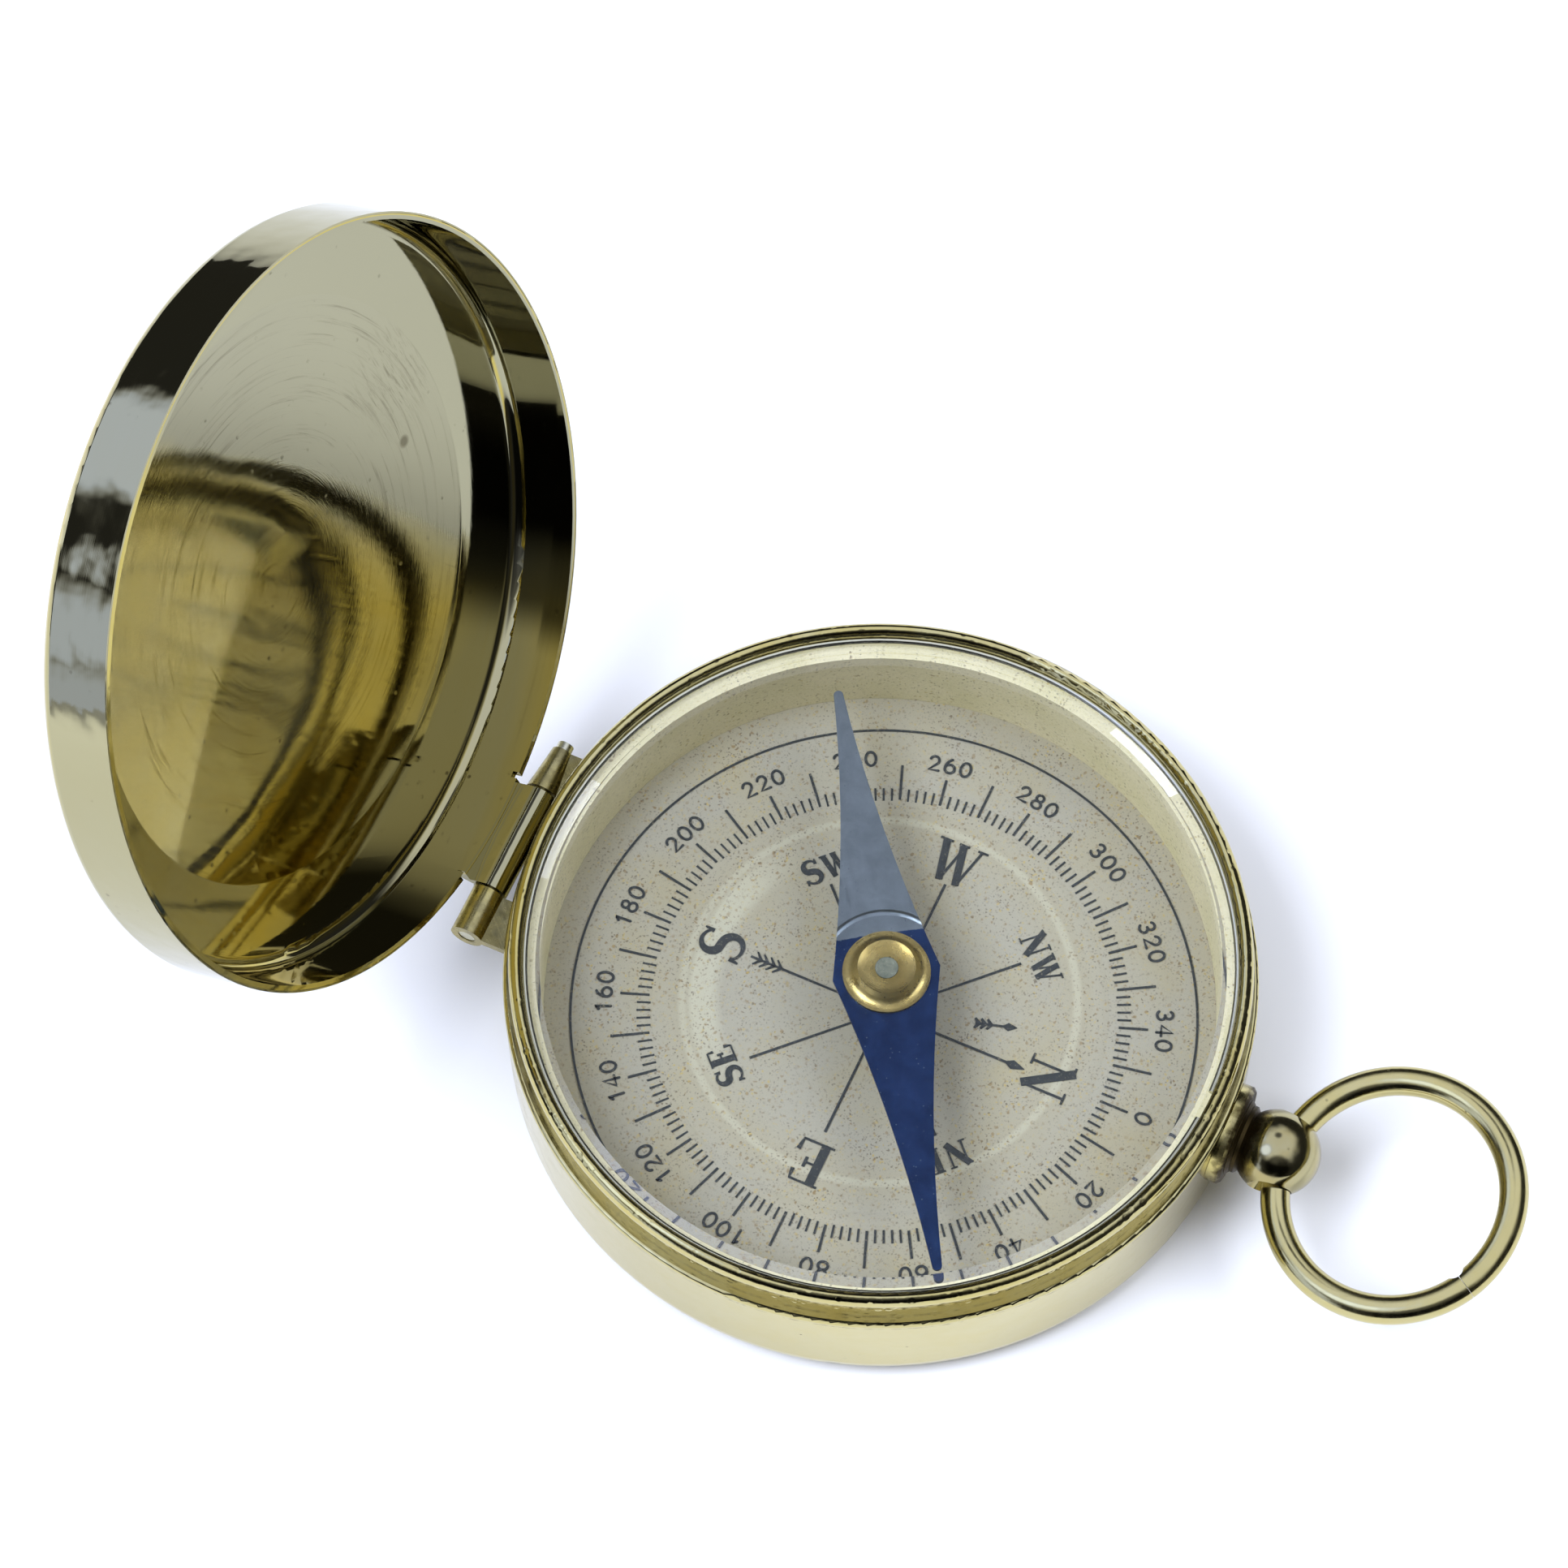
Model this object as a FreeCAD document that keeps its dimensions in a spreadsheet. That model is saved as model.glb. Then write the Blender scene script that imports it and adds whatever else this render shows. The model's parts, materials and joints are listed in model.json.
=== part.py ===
import FreeCAD, Part
import math
import os
import re

import Sketcher

# Brass pocket compass with a hinged lid and a wire bow.
# Origin: centre of the flat underside of the case. +Z up, +X towards the pendant, the hinge at -X.
# The lid is stored open and the needle off north, as the instrument lies on a table.

os.makedirs("parts", exist_ok=True)
doc = FreeCAD.newDocument("PocketCompass")

DIMS = {
    # drawn case cup
    "cup_radius": 23.05,
    "cup_inner_radius": 22.3,
    "cup_height": 8.75,
    "cup_floor": 0.6,
    "cup_edge_round": 2.2,
    "cup_inner_round": 1.5,
    "cup_rim_round": 0.25,
    # bezel
    "bezel_bore": 21.75,
    "bezel_skirt_radius": 22.27,
    "bezel_band_radius": 22.42,
    "bezel_foot_z": 7.95,
    "bezel_bead_z": 10.35,
    "bezel_bead_arc": 0.64,
    "bezel_crest_radius": 22.15,
    "bezel_crest_z": 11.42,
    "bezel_lip_z": 11.05,
    "bezel_lip_arc": 0.42,
    "bezel_groove_high_z": 10.76,
    "bezel_groove_low_z": 10.28,
    "bezel_groove_arc": 0.25,
    # bevelled glass and the split ring that holds it
    "glass_radius": 21.7,
    "glass_low_z": 9.3,
    "glass_edge_z": 10.2,
    "glass_bevel_radius": 20.7,
    "glass_top_z": 10.75,
    "snap_radius": 21.66,
    "snap_z": 10.52,
    "snap_wire": 0.22,
    "snap_sweep": 355.0,
    # wall ring between card and glass
    "spacer_bore": 20.75,
    "spacer_radius": 21.62,
    "spacer_low_z": 3.72,
    "spacer_high_z": 9.28,
    # printed card and the plate under it
    "card_radius": 21.6,
    "card_low_z": 3.42,
    "card_top_z": 3.7,
    "card_hole": 0.95,
    "card_ring_x": 0.2,
    "card_ring_y": 0.6,
    "card_ring_inner": 13.65,
    "card_ring_outer": 14.55,
    "card_ring_arc": 1.6,
    "plate_low_z": 3.0,
    "plate_top_z": 3.4,
    "plate_skirt_radius": 20.2,
    "plate_skirt_bore": 19.8,
    "plate_foot_z": 0.62,
    "plate_hole": 0.85,
    # pivot
    "pivot_x": 0.4,
    "base_foot_radius": 2.2,
    "base_foot_z": 2.2,
    "base_seat_z": 2.98,
    "base_shank_radius": 0.8,
    "base_top_z": 4.7,
    "base_chamfer": 0.2,
    "base_bore": 0.32,
    "base_bore_z": 2.5,
    "pin_radius": 0.3,
    "pin_foot_z": 2.55,
    "pin_cone_z": 7.3,
    "pin_tip_radius": 0.05,
    "pin_tip_z": 8.55,
    # needle
    "needle_heading": 122.8,
    "needle_low_z": 7.85,
    "needle_thick": 0.22,
    "needle_shoulder": 19.25,
    "needle_tip_radius": 0.29,
    "needle_tip_arc": 0.3,
    "needle_hub": 3.32,
    "needle_flank_arc": 105.0,
    "needle_hole": 1.3,
    "cap_bore": 0.72,
    "cap_foot_z": 7.6,
    "cap_rivet_radius": 1.65,
    "cap_rivet_z": 7.83,
    "cap_neck": 1.28,
    "cap_flange_z": 8.09,
    "cap_flange_radius": 2.7,
    "cap_flange_top_z": 8.27,
    "cap_waist_z": 8.62,
    "cap_waist_radius": 1.92,
    "cap_cove_arc": 0.8,
    "cap_crown_radius": 2.02,
    "cap_crown_z": 8.82,
    "cap_lip_radius": 1.78,
    "cap_lip_z": 9.02,
    "cap_dish_z": 8.84,
    "cap_dish_arc": 3.2,
    "jewel_radius": 0.7,
    "jewel_low_z": 8.3,
    "jewel_top_z": 8.86,
    "jewel_cone_radius": 0.45,
    "jewel_cone_z": 8.62,
    # hinge
    "hinge_x": 24.23,
    "hinge_z": 7.84,
    "knuckle_radius": 1.05,
    "knuckle_taper_radius": 0.68,
    "knuckle_bore": 0.55,
    "knuckle_foot": 0.3,
    "upper_knuckle_y": 2.7,
    "upper_knuckle_length": 3.05,
    "lower_knuckle_y": 8.0,
    "lower_knuckle_length": 3.15,
    "hinge_pin_radius": 0.53,
    "hinge_pin_y": 7.95,
    "hinge_pin_length": 14.25,
    # lid, drawn closed about its own axis with its rim at zero height
    "lid_open": 110.9,
    "lid_radius": 23.15,
    "lid_wall": 0.45,
    "lid_inner_radius": 22.7,
    "lid_lift": 1.0,
    "lid_wall_z": 3.95,
    "lid_corner_radius": 22.3,
    "lid_corner_z": 4.78,
    "lid_corner_arc": 0.9,
    "lid_disc_radius": 17.7,
    "lid_disc_z": 5.28,
    "lid_crown_z": 6.385,
    "curl_radius": 1.1,
    "curl_bore": 0.6,
    "tongue_y": 2.5,
    "tongue_width": 7.2,
    "tongue_outer_x": 23.58,
    "tongue_inner_x": 23.13,
    "tongue_root_x": 22.5,
    "tongue_root_z": 0.6,
    "nick_outer_x": 23.4,
    "nick_inner_x": 22.2,
    "nick_z": 0.45,
    "nick_width": 0.4,
    "nick_lower_y": 4.7,
    # pendant
    "ball_x": 26.75,
    "ball_z": 5.6,
    "ball_end_x": 2.2,
    "ball_roll": 8.5,
    "ball_joint_x": 2.3,
    "ball_joint_radius": 1.8973666,
    "neck_x": 2.5,
    "neck_radius": 2.15,
    "neck_seat_x": 2.73,
    "shank_radius": 1.0,
    "shank_end_x": 5.0,
    "hole_mouth": 1.591,
    "hole_arc": 6.25,
    "hole_half_length": 2.757,
    "collar_bore": 1.02,
    "collar_back_x": 22.3,
    "collar_disc_x": 23.75,
    "collar_disc_radius": 3.15,
    "collar_step_x": 24.0,
    "collar_step_radius": 2.4,
    "collar_round": 0.2,
    "collar_seat": 23.06,
    "washer_radius": 1.6,
    "washer_x": 21.8,
    "washer_thick": 0.38,
    # bow
    "bow_radius": 7.2,
    "bow_wire": 0.9,
    "bow_tilt": 11.5,
    "bow_gap_middle": 32.0,
    "bow_gap": 0.3,
    "bow_notch_x": 6.2,
    "bow_notch": 0.55,
}

sheet = doc.addObject("Spreadsheet::Sheet", "Dims")
for row, (alias, number) in enumerate(DIMS.items(), start=1):
    sheet.set(f"A{row}", alias)
    sheet.set(f"B{row}", str(number))
    sheet.setAlias(f"B{row}", alias)
doc.recompute()

UP = FreeCAD.Vector(0, 0, 1)
ALONG_X = FreeCAD.Vector(1, 0, 0)
ALONG_Y = FreeCAD.Vector(0, 1, 0)


def value(text):
    """Number for a sum of aliases such as 'cup_height - cup_floor'."""
    total = 0.0
    for term in text.replace(" ", "").replace("-", "+-").split("+"):
        if term.startswith("-"):
            total -= DIMS[term[1:]]
        elif term:
            total += DIMS[term]
    return total


def formula(text):
    """The same sum as a FreeCAD expression on the sheet."""
    return re.sub(r"[a-z][a-z_]*", lambda name: "Dims." + name.group(0), text)


def place_point(sketch, geo, pos, x_text, y_text):
    """Tie a sketch point to the sheet, or to an axis where its coordinate is zero."""
    if x_text == "0":
        sketch.addConstraint(Sketcher.Constraint("PointOnObject", geo, pos, -2))
    else:
        tie = sketch.addConstraint(Sketcher.Constraint("DistanceX", -1, 1, geo, pos, value(x_text)))
        sketch.setExpression(f"Constraints[{tie}]", formula(x_text))
    if y_text == "0":
        sketch.addConstraint(Sketcher.Constraint("PointOnObject", geo, pos, -1))
    else:
        tie = sketch.addConstraint(Sketcher.Constraint("DistanceY", -1, 1, geo, pos, value(y_text)))
        sketch.setExpression(f"Constraints[{tie}]", formula(y_text))


def coordinate(text):
    return 0.0 if text == "0" else value(text)


def new_sketch(body, name, plane="XZ_Plane", offset=None):
    sketch = body.newObject("Sketcher::SketchObject", name)
    origin_plane = [item for item in body.Origin.OriginFeatures if item.Role == plane][0]
    sketch.AttachmentSupport = [(origin_plane, "")]
    sketch.MapMode = "FlatFace"
    if offset is not None:
        sketch.AttachmentOffset = FreeCAD.Placement(offset, FreeCAD.Rotation())
    return sketch


AXIS_OF = {"on_x": -1, "on_y": -2}


def arc_radius(text, start, stop):
    """Radius from the sheet, or of the arc through two points with its centre on an axis."""
    if text not in AXIS_OF:
        return value(text)
    squares = stop.Length ** 2 - start.Length ** 2
    if text == "on_y":
        centre = FreeCAD.Vector(0, squares / (2 * (stop.y - start.y)), 0)
    else:
        centre = FreeCAD.Vector(squares / (2 * (stop.x - start.x)), 0, 0)
    return start.distanceToPoint(centre)


def closed_profile(sketch, corners):
    """Closed outline. A corner is (x, y), or (x, y, radius, side) when an arc leads on from it.

    side is +1 for an arc that bulges to the left of the way to the next corner, -1 to the right.
    The radius "on_x" or "on_y" stands for an arc whose centre lies on that axis of the sketch.
    """
    count = len(corners)
    ends = []
    for index, corner in enumerate(corners):
        after = corners[(index + 1) % count]
        start = FreeCAD.Vector(coordinate(corner[0]), coordinate(corner[1]), 0)
        stop = FreeCAD.Vector(coordinate(after[0]), coordinate(after[1]), 0)
        if len(corner) == 2:
            geo = sketch.addGeometry(Part.LineSegment(start, stop), False)
            ends.append((geo, 1, 2))
            continue
        side = corner[3]
        chord = stop - start
        radius = arc_radius(corner[2], start, stop)
        right = FreeCAD.Vector(chord.y, -chord.x, 0).normalize()
        depth = math.sqrt(radius ** 2 - chord.Length ** 2 / 4)
        centre = (start + stop) * 0.5 + right * (depth * side)
        first, last = (start, stop) if side < 0 else (stop, start)
        angles = [math.atan2(point.y - centre.y, point.x - centre.x) for point in (first, last)]
        circle = Part.Circle(centre, UP, radius)
        geo = sketch.addGeometry(Part.ArcOfCircle(circle, angles[0], angles[1]), False)
        ends.append((geo, 1, 2) if side < 0 else (geo, 2, 1))
    for index, (geo, first, last) in enumerate(ends):
        next_geo, next_first, _ = ends[(index + 1) % count]
        sketch.addConstraint(Sketcher.Constraint("Coincident", geo, last, next_geo, next_first))
    for (geo, first, _), corner in zip(ends, corners):
        place_point(sketch, geo, first, corner[0], corner[1])
        if len(corner) == 2:
            continue
        if corner[2] in AXIS_OF:
            sketch.addConstraint(Sketcher.Constraint("PointOnObject", geo, 3, AXIS_OF[corner[2]]))
        else:
            tie = sketch.addConstraint(Sketcher.Constraint("Radius", geo, value(corner[2])))
            sketch.setExpression(f"Constraints[{tie}]", formula(corner[2]))


def add_circle(sketch, x_text, y_text, radius_text):
    centre = FreeCAD.Vector(coordinate(x_text), coordinate(y_text), 0)
    geo = sketch.addGeometry(Part.Circle(centre, UP, value(radius_text)), False)
    place_point(sketch, geo, 3, x_text, y_text)
    tie = sketch.addConstraint(Sketcher.Constraint("Radius", geo, value(radius_text)))
    sketch.setExpression(f"Constraints[{tie}]", formula(radius_text))


def new_body(label):
    body = doc.addObject("PartDesign::Body", label)
    body.Label = label
    return body


def add_turned(body, kind, name, sketch, axis="V_Axis", sweep=None):
    feature = body.newObject("PartDesign::" + kind, name)
    feature.Profile = sketch
    feature.ReferenceAxis = (sketch, [axis])
    feature.Angle = 360.0
    if sweep is not None:
        feature.setExpression("Angle", formula(sweep))
    sketch.Visibility = False
    doc.recompute()
    return feature


def add_extruded(body, kind, name, sketch, length, backwards=False):
    feature = body.newObject("PartDesign::" + kind, name)
    feature.Profile = sketch
    feature.Length = value(length)
    feature.setExpression("Length", formula(length))
    feature.Reversed = backwards
    sketch.Visibility = False
    doc.recompute()
    return feature


def turned_body(label, corners, plane="XZ_Plane", axis="V_Axis"):
    """Body turned from one profile about its own axis."""
    body = new_body(label)
    sketch = new_sketch(body, label + "_profile", plane)
    closed_profile(sketch, corners)
    add_turned(body, "Revolution", label + "_turned", sketch, axis)
    return body


def ring_edges(feature, radius, height):
    """Names of the circular edges of a turned feature at one radius and height."""
    names = []
    for number, edge in enumerate(feature.Shape.Edges, start=1):
        curve = edge.Curve
        if not isinstance(curve, Part.Circle) or abs(curve.Axis.z) < 0.99:
            continue
        if abs(curve.Radius - radius) < 1e-4 and abs(curve.Center.z - height) < 1e-4:
            names.append(f"Edge{number}")
    return names


def add_round(body, name, base, radius, height, size):
    feature = body.newObject("PartDesign::Fillet", name)
    feature.Base = (base, ring_edges(base, value(radius), coordinate(height)))
    feature.Radius = value(size)
    feature.setExpression("Radius", formula(size))
    doc.recompute()
    return feature


def cut_cylinder(label, radius, length, start, direction=UP):
    """Part cylinder bound to the sheet, placed by its foot."""
    tool = doc.addObject("Part::Cylinder", label)
    tool.setExpression("Radius", formula(radius))
    tool.setExpression("Height", formula(length))
    turn = FreeCAD.Rotation(UP, direction)
    tool.Placement = FreeCAD.Placement(start, turn)
    return tool


# --- case -------------------------------------------------------------------------------

cup = turned_body("case_cup", [
    ("0", "0"),
    ("cup_radius", "0"),
    ("cup_radius", "cup_height"),
    ("cup_inner_radius", "cup_height"),
    ("cup_inner_radius", "cup_floor"),
    ("0", "cup_floor"),
])
step = add_round(cup, "cup_base_round", cup.Tip, "cup_radius", "0", "cup_edge_round")
step = add_round(cup, "cup_floor_round", step, "cup_inner_radius", "cup_floor", "cup_inner_round")
step = add_round(cup, "cup_rim_round_edge", step, "cup_radius", "cup_height", "cup_rim_round")
pendant_hole = new_sketch(cup, "cup_pendant_hole", "YZ_Plane")
add_circle(pendant_hole, "0", "ball_z", "collar_bore")
add_extruded(cup, "Pocket", "cup_pendant_bore", pendant_hole, "cup_radius", backwards=True)

turned_body("case_bezel", [
    ("bezel_bore", "bezel_foot_z"),
    ("bezel_skirt_radius", "bezel_foot_z"),
    ("bezel_skirt_radius", "cup_height"),
    ("bezel_band_radius", "cup_height"),
    ("bezel_band_radius", "bezel_bead_z", "bezel_bead_arc", -1),
    ("bezel_crest_radius", "bezel_crest_z", "bezel_lip_arc", -1),
    ("bezel_bore", "bezel_lip_z"),
    ("bezel_bore", "bezel_groove_high_z", "bezel_groove_arc", 1),
    ("bezel_bore", "bezel_groove_low_z"),
])

turned_body("glass", [
    ("0", "glass_low_z"),
    ("glass_radius", "glass_low_z"),
    ("glass_radius", "glass_edge_z"),
    ("glass_bevel_radius", "glass_top_z"),
    ("0", "glass_top_z"),
])

snap = new_body("glass_snap_ring")
snap_sketch = new_sketch(snap, "snap_wire_section")
add_circle(snap_sketch, "snap_radius", "snap_z", "snap_wire")
add_turned(snap, "Revolution", "snap_turned", snap_sketch, sweep="snap_sweep")

turned_body("spacer_ring", [
    ("spacer_bore", "spacer_low_z"),
    ("spacer_radius", "spacer_low_z"),
    ("spacer_radius", "spacer_high_z"),
    ("spacer_bore", "spacer_high_z"),
])

# --- card, plate and pivot --------------------------------------------------------------

card = turned_body("dial_card", [
    ("0", "card_low_z"),
    ("card_radius", "card_low_z"),
    ("card_radius", "card_top_z"),
    ("0", "card_top_z"),
])
ring_offset = FreeCAD.Vector(-DIMS["card_ring_x"], 0, DIMS["card_ring_y"])
ring_sketch = new_sketch(card, "card_pressed_ring", offset=ring_offset)
closed_profile(ring_sketch, [
    ("card_ring_inner", "card_top_z", "card_ring_arc", 1),
    ("card_ring_outer", "card_top_z"),
])
add_turned(card, "Revolution", "card_pressed_ring_turned", ring_sketch)
card_hole = new_sketch(card, "card_pivot_hole", "XY_Plane")
add_circle(card_hole, "pivot_x", "0", "card_hole")
add_extruded(card, "Pocket", "card_pivot_bore", card_hole, "card_top_z", backwards=True)

plate = turned_body("dial_plate", [
    ("0", "plate_low_z"),
    ("plate_skirt_bore", "plate_low_z"),
    ("plate_skirt_bore", "plate_foot_z"),
    ("plate_skirt_radius", "plate_foot_z"),
    ("plate_skirt_radius", "plate_low_z"),
    ("card_radius", "plate_low_z"),
    ("card_radius", "plate_top_z"),
    ("0", "plate_top_z"),
])
plate_hole = new_sketch(plate, "plate_pivot_hole", "XY_Plane")
add_circle(plate_hole, "pivot_x", "0", "plate_hole")
add_extruded(plate, "Pocket", "plate_pivot_bore", plate_hole, "plate_top_z", backwards=True)

pivot_base = turned_body("pivot_base", [
    ("0", "base_foot_z"),
    ("base_foot_radius", "base_foot_z"),
    ("base_foot_radius", "base_seat_z"),
    ("base_shank_radius", "base_seat_z"),
    ("base_shank_radius", "base_top_z - base_chamfer"),
    ("base_shank_radius - base_chamfer", "base_top_z"),
    ("base_bore", "base_top_z"),
    ("base_bore", "base_bore_z"),
    ("0", "base_bore_z"),
])
pivot_pin = turned_body("pivot_pin", [
    ("0", "pin_foot_z"),
    ("pin_radius", "pin_foot_z"),
    ("pin_radius", "pin_cone_z"),
    ("pin_tip_radius", "pin_tip_z"),
    ("0", "pin_tip_z"),
])

# --- needle -----------------------------------------------------------------------------

blade = new_body("needle_blade")
blade_sketch = new_sketch(blade, "blade_outline", "XY_Plane",
                          FreeCAD.Vector(0, 0, DIMS["needle_low_z"]))
blade_sketch.setExpression("AttachmentOffset.Base.z", "Dims.needle_low_z")
closed_profile(blade_sketch, [
    ("0", "needle_hub", "needle_flank_arc", 1),
    ("-needle_shoulder", "needle_tip_radius", "needle_tip_arc", -1),
    ("-needle_shoulder", "-needle_tip_radius", "needle_flank_arc", 1),
    ("0", "-needle_hub", "needle_flank_arc", 1),
    ("needle_shoulder", "-needle_tip_radius", "needle_tip_arc", -1),
    ("needle_shoulder", "needle_tip_radius", "needle_flank_arc", 1),
])
add_extruded(blade, "Pad", "blade_strip", blade_sketch, "needle_thick")
blade_hole = new_sketch(blade, "blade_cap_hole", "XY_Plane")
add_circle(blade_hole, "0", "0", "needle_hole")
add_extruded(blade, "Pocket", "blade_cap_bore", blade_hole, "needle_low_z + needle_thick",
             backwards=True)

needle_cap = turned_body("needle_cap", [
    ("cap_bore", "cap_foot_z"),
    ("cap_rivet_radius", "cap_foot_z"),
    ("cap_rivet_radius", "cap_rivet_z"),
    ("cap_neck", "cap_rivet_z"),
    ("cap_neck", "cap_flange_z"),
    ("cap_flange_radius", "cap_flange_z"),
    ("cap_flange_radius", "cap_flange_top_z", "cap_cove_arc", 1),
    ("cap_waist_radius", "cap_waist_z"),
    ("cap_crown_radius", "cap_crown_z"),
    ("cap_lip_radius", "cap_lip_z", "cap_dish_arc", 1),
    ("cap_bore", "cap_dish_z"),
])
cap_jewel = turned_body("cap_jewel", [
    ("jewel_cone_radius", "jewel_low_z"),
    ("jewel_radius", "jewel_low_z"),
    ("jewel_radius", "jewel_top_z"),
    ("0", "jewel_top_z"),
    ("0", "jewel_cone_z"),
])

on_pivot = FreeCAD.Vector(DIMS["pivot_x"], 0, 0)
for fixed in (pivot_base, pivot_pin):
    fixed.Placement = FreeCAD.Placement(on_pivot, FreeCAD.Rotation())
    fixed.setExpression("Placement.Base.x", "Dims.pivot_x")
for turning in (blade, needle_cap, cap_jewel):
    heading = FreeCAD.Rotation(UP, DIMS["needle_heading"])
    turning.Placement = FreeCAD.Placement(on_pivot, heading)
    turning.setExpression("Placement.Base.x", "Dims.pivot_x")
    turning.setExpression("Placement.Rotation.Angle", "Dims.needle_heading")

# --- hinge ------------------------------------------------------------------------------


def tapered_tube(label, length, start):
    """Cone along the hinge, full at its foot and drawn in towards the pin at its far end."""
    tube = doc.addObject("Part::Cone", label)
    tube.setExpression("Radius1", "Dims.knuckle_radius")
    tube.setExpression("Radius2", "Dims.knuckle_taper_radius")
    tube.setExpression("Height", formula(length))
    tube.Placement = FreeCAD.Placement(start, FreeCAD.Rotation(UP, ALONG_Y))
    return tube


def add_knuckle(label, near_y, length, tapered=False):
    """Soldered hinge knuckle: a tube on a foot that fits the case wall."""
    start = FreeCAD.Vector(-DIMS["hinge_x"], near_y, DIMS["hinge_z"])
    if tapered:
        tube = tapered_tube(label + "_tube", length, start)
    else:
        tube = cut_cylinder(label + "_tube", "knuckle_radius", length, start, ALONG_Y)
    foot = doc.addObject("Part::Box", label + "_foot")
    foot.setExpression("Length", "Dims.hinge_x - Dims.cup_inner_radius + Dims.knuckle_radius")
    foot.setExpression("Width", formula(length))
    foot.setExpression("Height", "2 * Dims.knuckle_foot")
    foot.Placement.Base = start - FreeCAD.Vector(0, 0, DIMS["knuckle_foot"])
    solid = doc.addObject("Part::Fuse", label + "_solid")
    solid.Base, solid.Tool = tube, foot
    wall = cut_cylinder(label + "_wall", "collar_seat", "cup_height + lid_lift",
                        FreeCAD.Vector(0, 0, 0))
    seated = doc.addObject("Part::Cut", label + "_seated")
    seated.Base, seated.Tool = solid, wall
    bore = cut_cylinder(label + "_bore", "knuckle_bore", length, start, ALONG_Y)
    knuckle = doc.addObject("Part::Cut", label)
    knuckle.Base, knuckle.Tool = seated, bore
    knuckle.Label = label
    return knuckle


add_knuckle("hinge_knuckle_upper", DIMS["upper_knuckle_y"], "upper_knuckle_length", tapered=True)
add_knuckle("hinge_knuckle_lower", -DIMS["lower_knuckle_y"], "lower_knuckle_length")
pin_start = FreeCAD.Vector(-DIMS["hinge_x"], -DIMS["hinge_pin_y"], DIMS["hinge_z"])
hinge_pin = cut_cylinder("hinge_pin", "hinge_pin_radius", "hinge_pin_length", pin_start, ALONG_Y)

# --- lid --------------------------------------------------------------------------------

lid = turned_body("lid_shell", [
    ("lid_inner_radius", "0"),
    ("lid_radius", "0"),
    ("lid_radius", "lid_wall_z", "lid_corner_arc", -1),
    ("lid_corner_radius", "lid_corner_z"),
    ("lid_disc_radius", "lid_disc_z", "on_y", -1),
    ("0", "lid_crown_z"),
    ("0", "lid_crown_z - lid_wall", "on_y", 1),
    ("lid_disc_radius", "lid_disc_z - lid_wall"),
    ("lid_corner_radius - lid_wall", "lid_corner_z - lid_wall", "lid_corner_arc", 1),
    ("lid_inner_radius", "lid_wall_z - lid_wall"),
])
far_side = FreeCAD.Vector(0, 0, -DIMS["tongue_y"])
curl = new_sketch(lid, "curl_section", offset=far_side)
add_circle(curl, "-hinge_x", "-lid_lift", "curl_radius")
add_extruded(lid, "Pad", "curl_roll", curl, "tongue_width")
tongue = new_sketch(lid, "tongue_section", offset=far_side)
closed_profile(tongue, [
    ("-tongue_outer_x", "-lid_lift"),
    ("-tongue_inner_x", "-lid_lift"),
    ("-tongue_inner_x", "0"),
    ("-tongue_root_x", "0"),
    ("-tongue_root_x", "tongue_root_z"),
    ("-tongue_inner_x", "tongue_root_z"),
    ("-tongue_outer_x", "0"),
])
add_extruded(lid, "Pad", "tongue_strip", tongue, "tongue_width")
mouth = new_sketch(lid, "lid_mouth")
closed_profile(mouth, [
    ("0", "-tongue_root_z"),
    ("lid_inner_radius", "-tongue_root_z"),
    ("lid_inner_radius", "tongue_root_z + tongue_root_z"),
    ("0", "tongue_root_z + tongue_root_z"),
])
add_turned(lid, "Groove", "lid_mouth_trim", mouth)
bore = new_sketch(lid, "curl_bore_section", offset=far_side)
add_circle(bore, "-hinge_x", "-lid_lift", "curl_bore")
add_extruded(lid, "Pocket", "curl_bore_cut", bore, "tongue_width", backwards=True)
nick_starts = {"upper": -DIMS["tongue_y"] - DIMS["nick_width"], "lower": DIMS["nick_lower_y"]}
for side, depth in nick_starts.items():
    nick = new_sketch(lid, side + "_nick", offset=FreeCAD.Vector(0, 0, depth))
    closed_profile(nick, [
        ("-nick_outer_x", "-nick_z"),
        ("-nick_inner_x", "-nick_z"),
        ("-nick_inner_x", "nick_z"),
        ("-nick_outer_x", "nick_z"),
    ])
    add_extruded(lid, "Pocket", side + "_nick_cut", nick, "nick_width", backwards=True)

hinge_point = FreeCAD.Vector(-DIMS["hinge_x"], 0, DIMS["hinge_z"])
to_hinge = FreeCAD.Vector(DIMS["hinge_x"], 0, DIMS["lid_lift"])
opening = FreeCAD.Placement(hinge_point, FreeCAD.Rotation(ALONG_Y, -DIMS["lid_open"]))
lid.Placement = opening.multiply(FreeCAD.Placement(to_hinge, FreeCAD.Rotation()))

# --- pendant and bow --------------------------------------------------------------------

collar = new_body("pendant_collar")
collar_sketch = new_sketch(collar, "collar_profile", "XY_Plane", FreeCAD.Vector(0, 0, DIMS["ball_z"]))
collar_sketch.setExpression("AttachmentOffset.Base.z", "Dims.ball_z")
closed_profile(collar_sketch, [
    ("collar_back_x", "collar_bore"),
    ("collar_step_x", "collar_bore"),
    ("collar_step_x", "collar_step_radius - collar_round"),
    ("collar_step_x - collar_round", "collar_step_radius"),
    ("collar_disc_x", "collar_step_radius"),
    ("collar_disc_x", "collar_disc_radius - collar_round"),
    ("collar_disc_x - collar_round", "collar_disc_radius"),
    ("collar_back_x", "collar_disc_radius"),
])
add_turned(collar, "Revolution", "collar_turned", collar_sketch, "H_Axis")
seat = new_sketch(collar, "collar_wall_seat", "XY_Plane")
add_circle(seat, "0", "0", "collar_seat")
add_extruded(collar, "Pocket", "collar_seat_cut", seat, "ball_z + ball_z", backwards=True)

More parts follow.
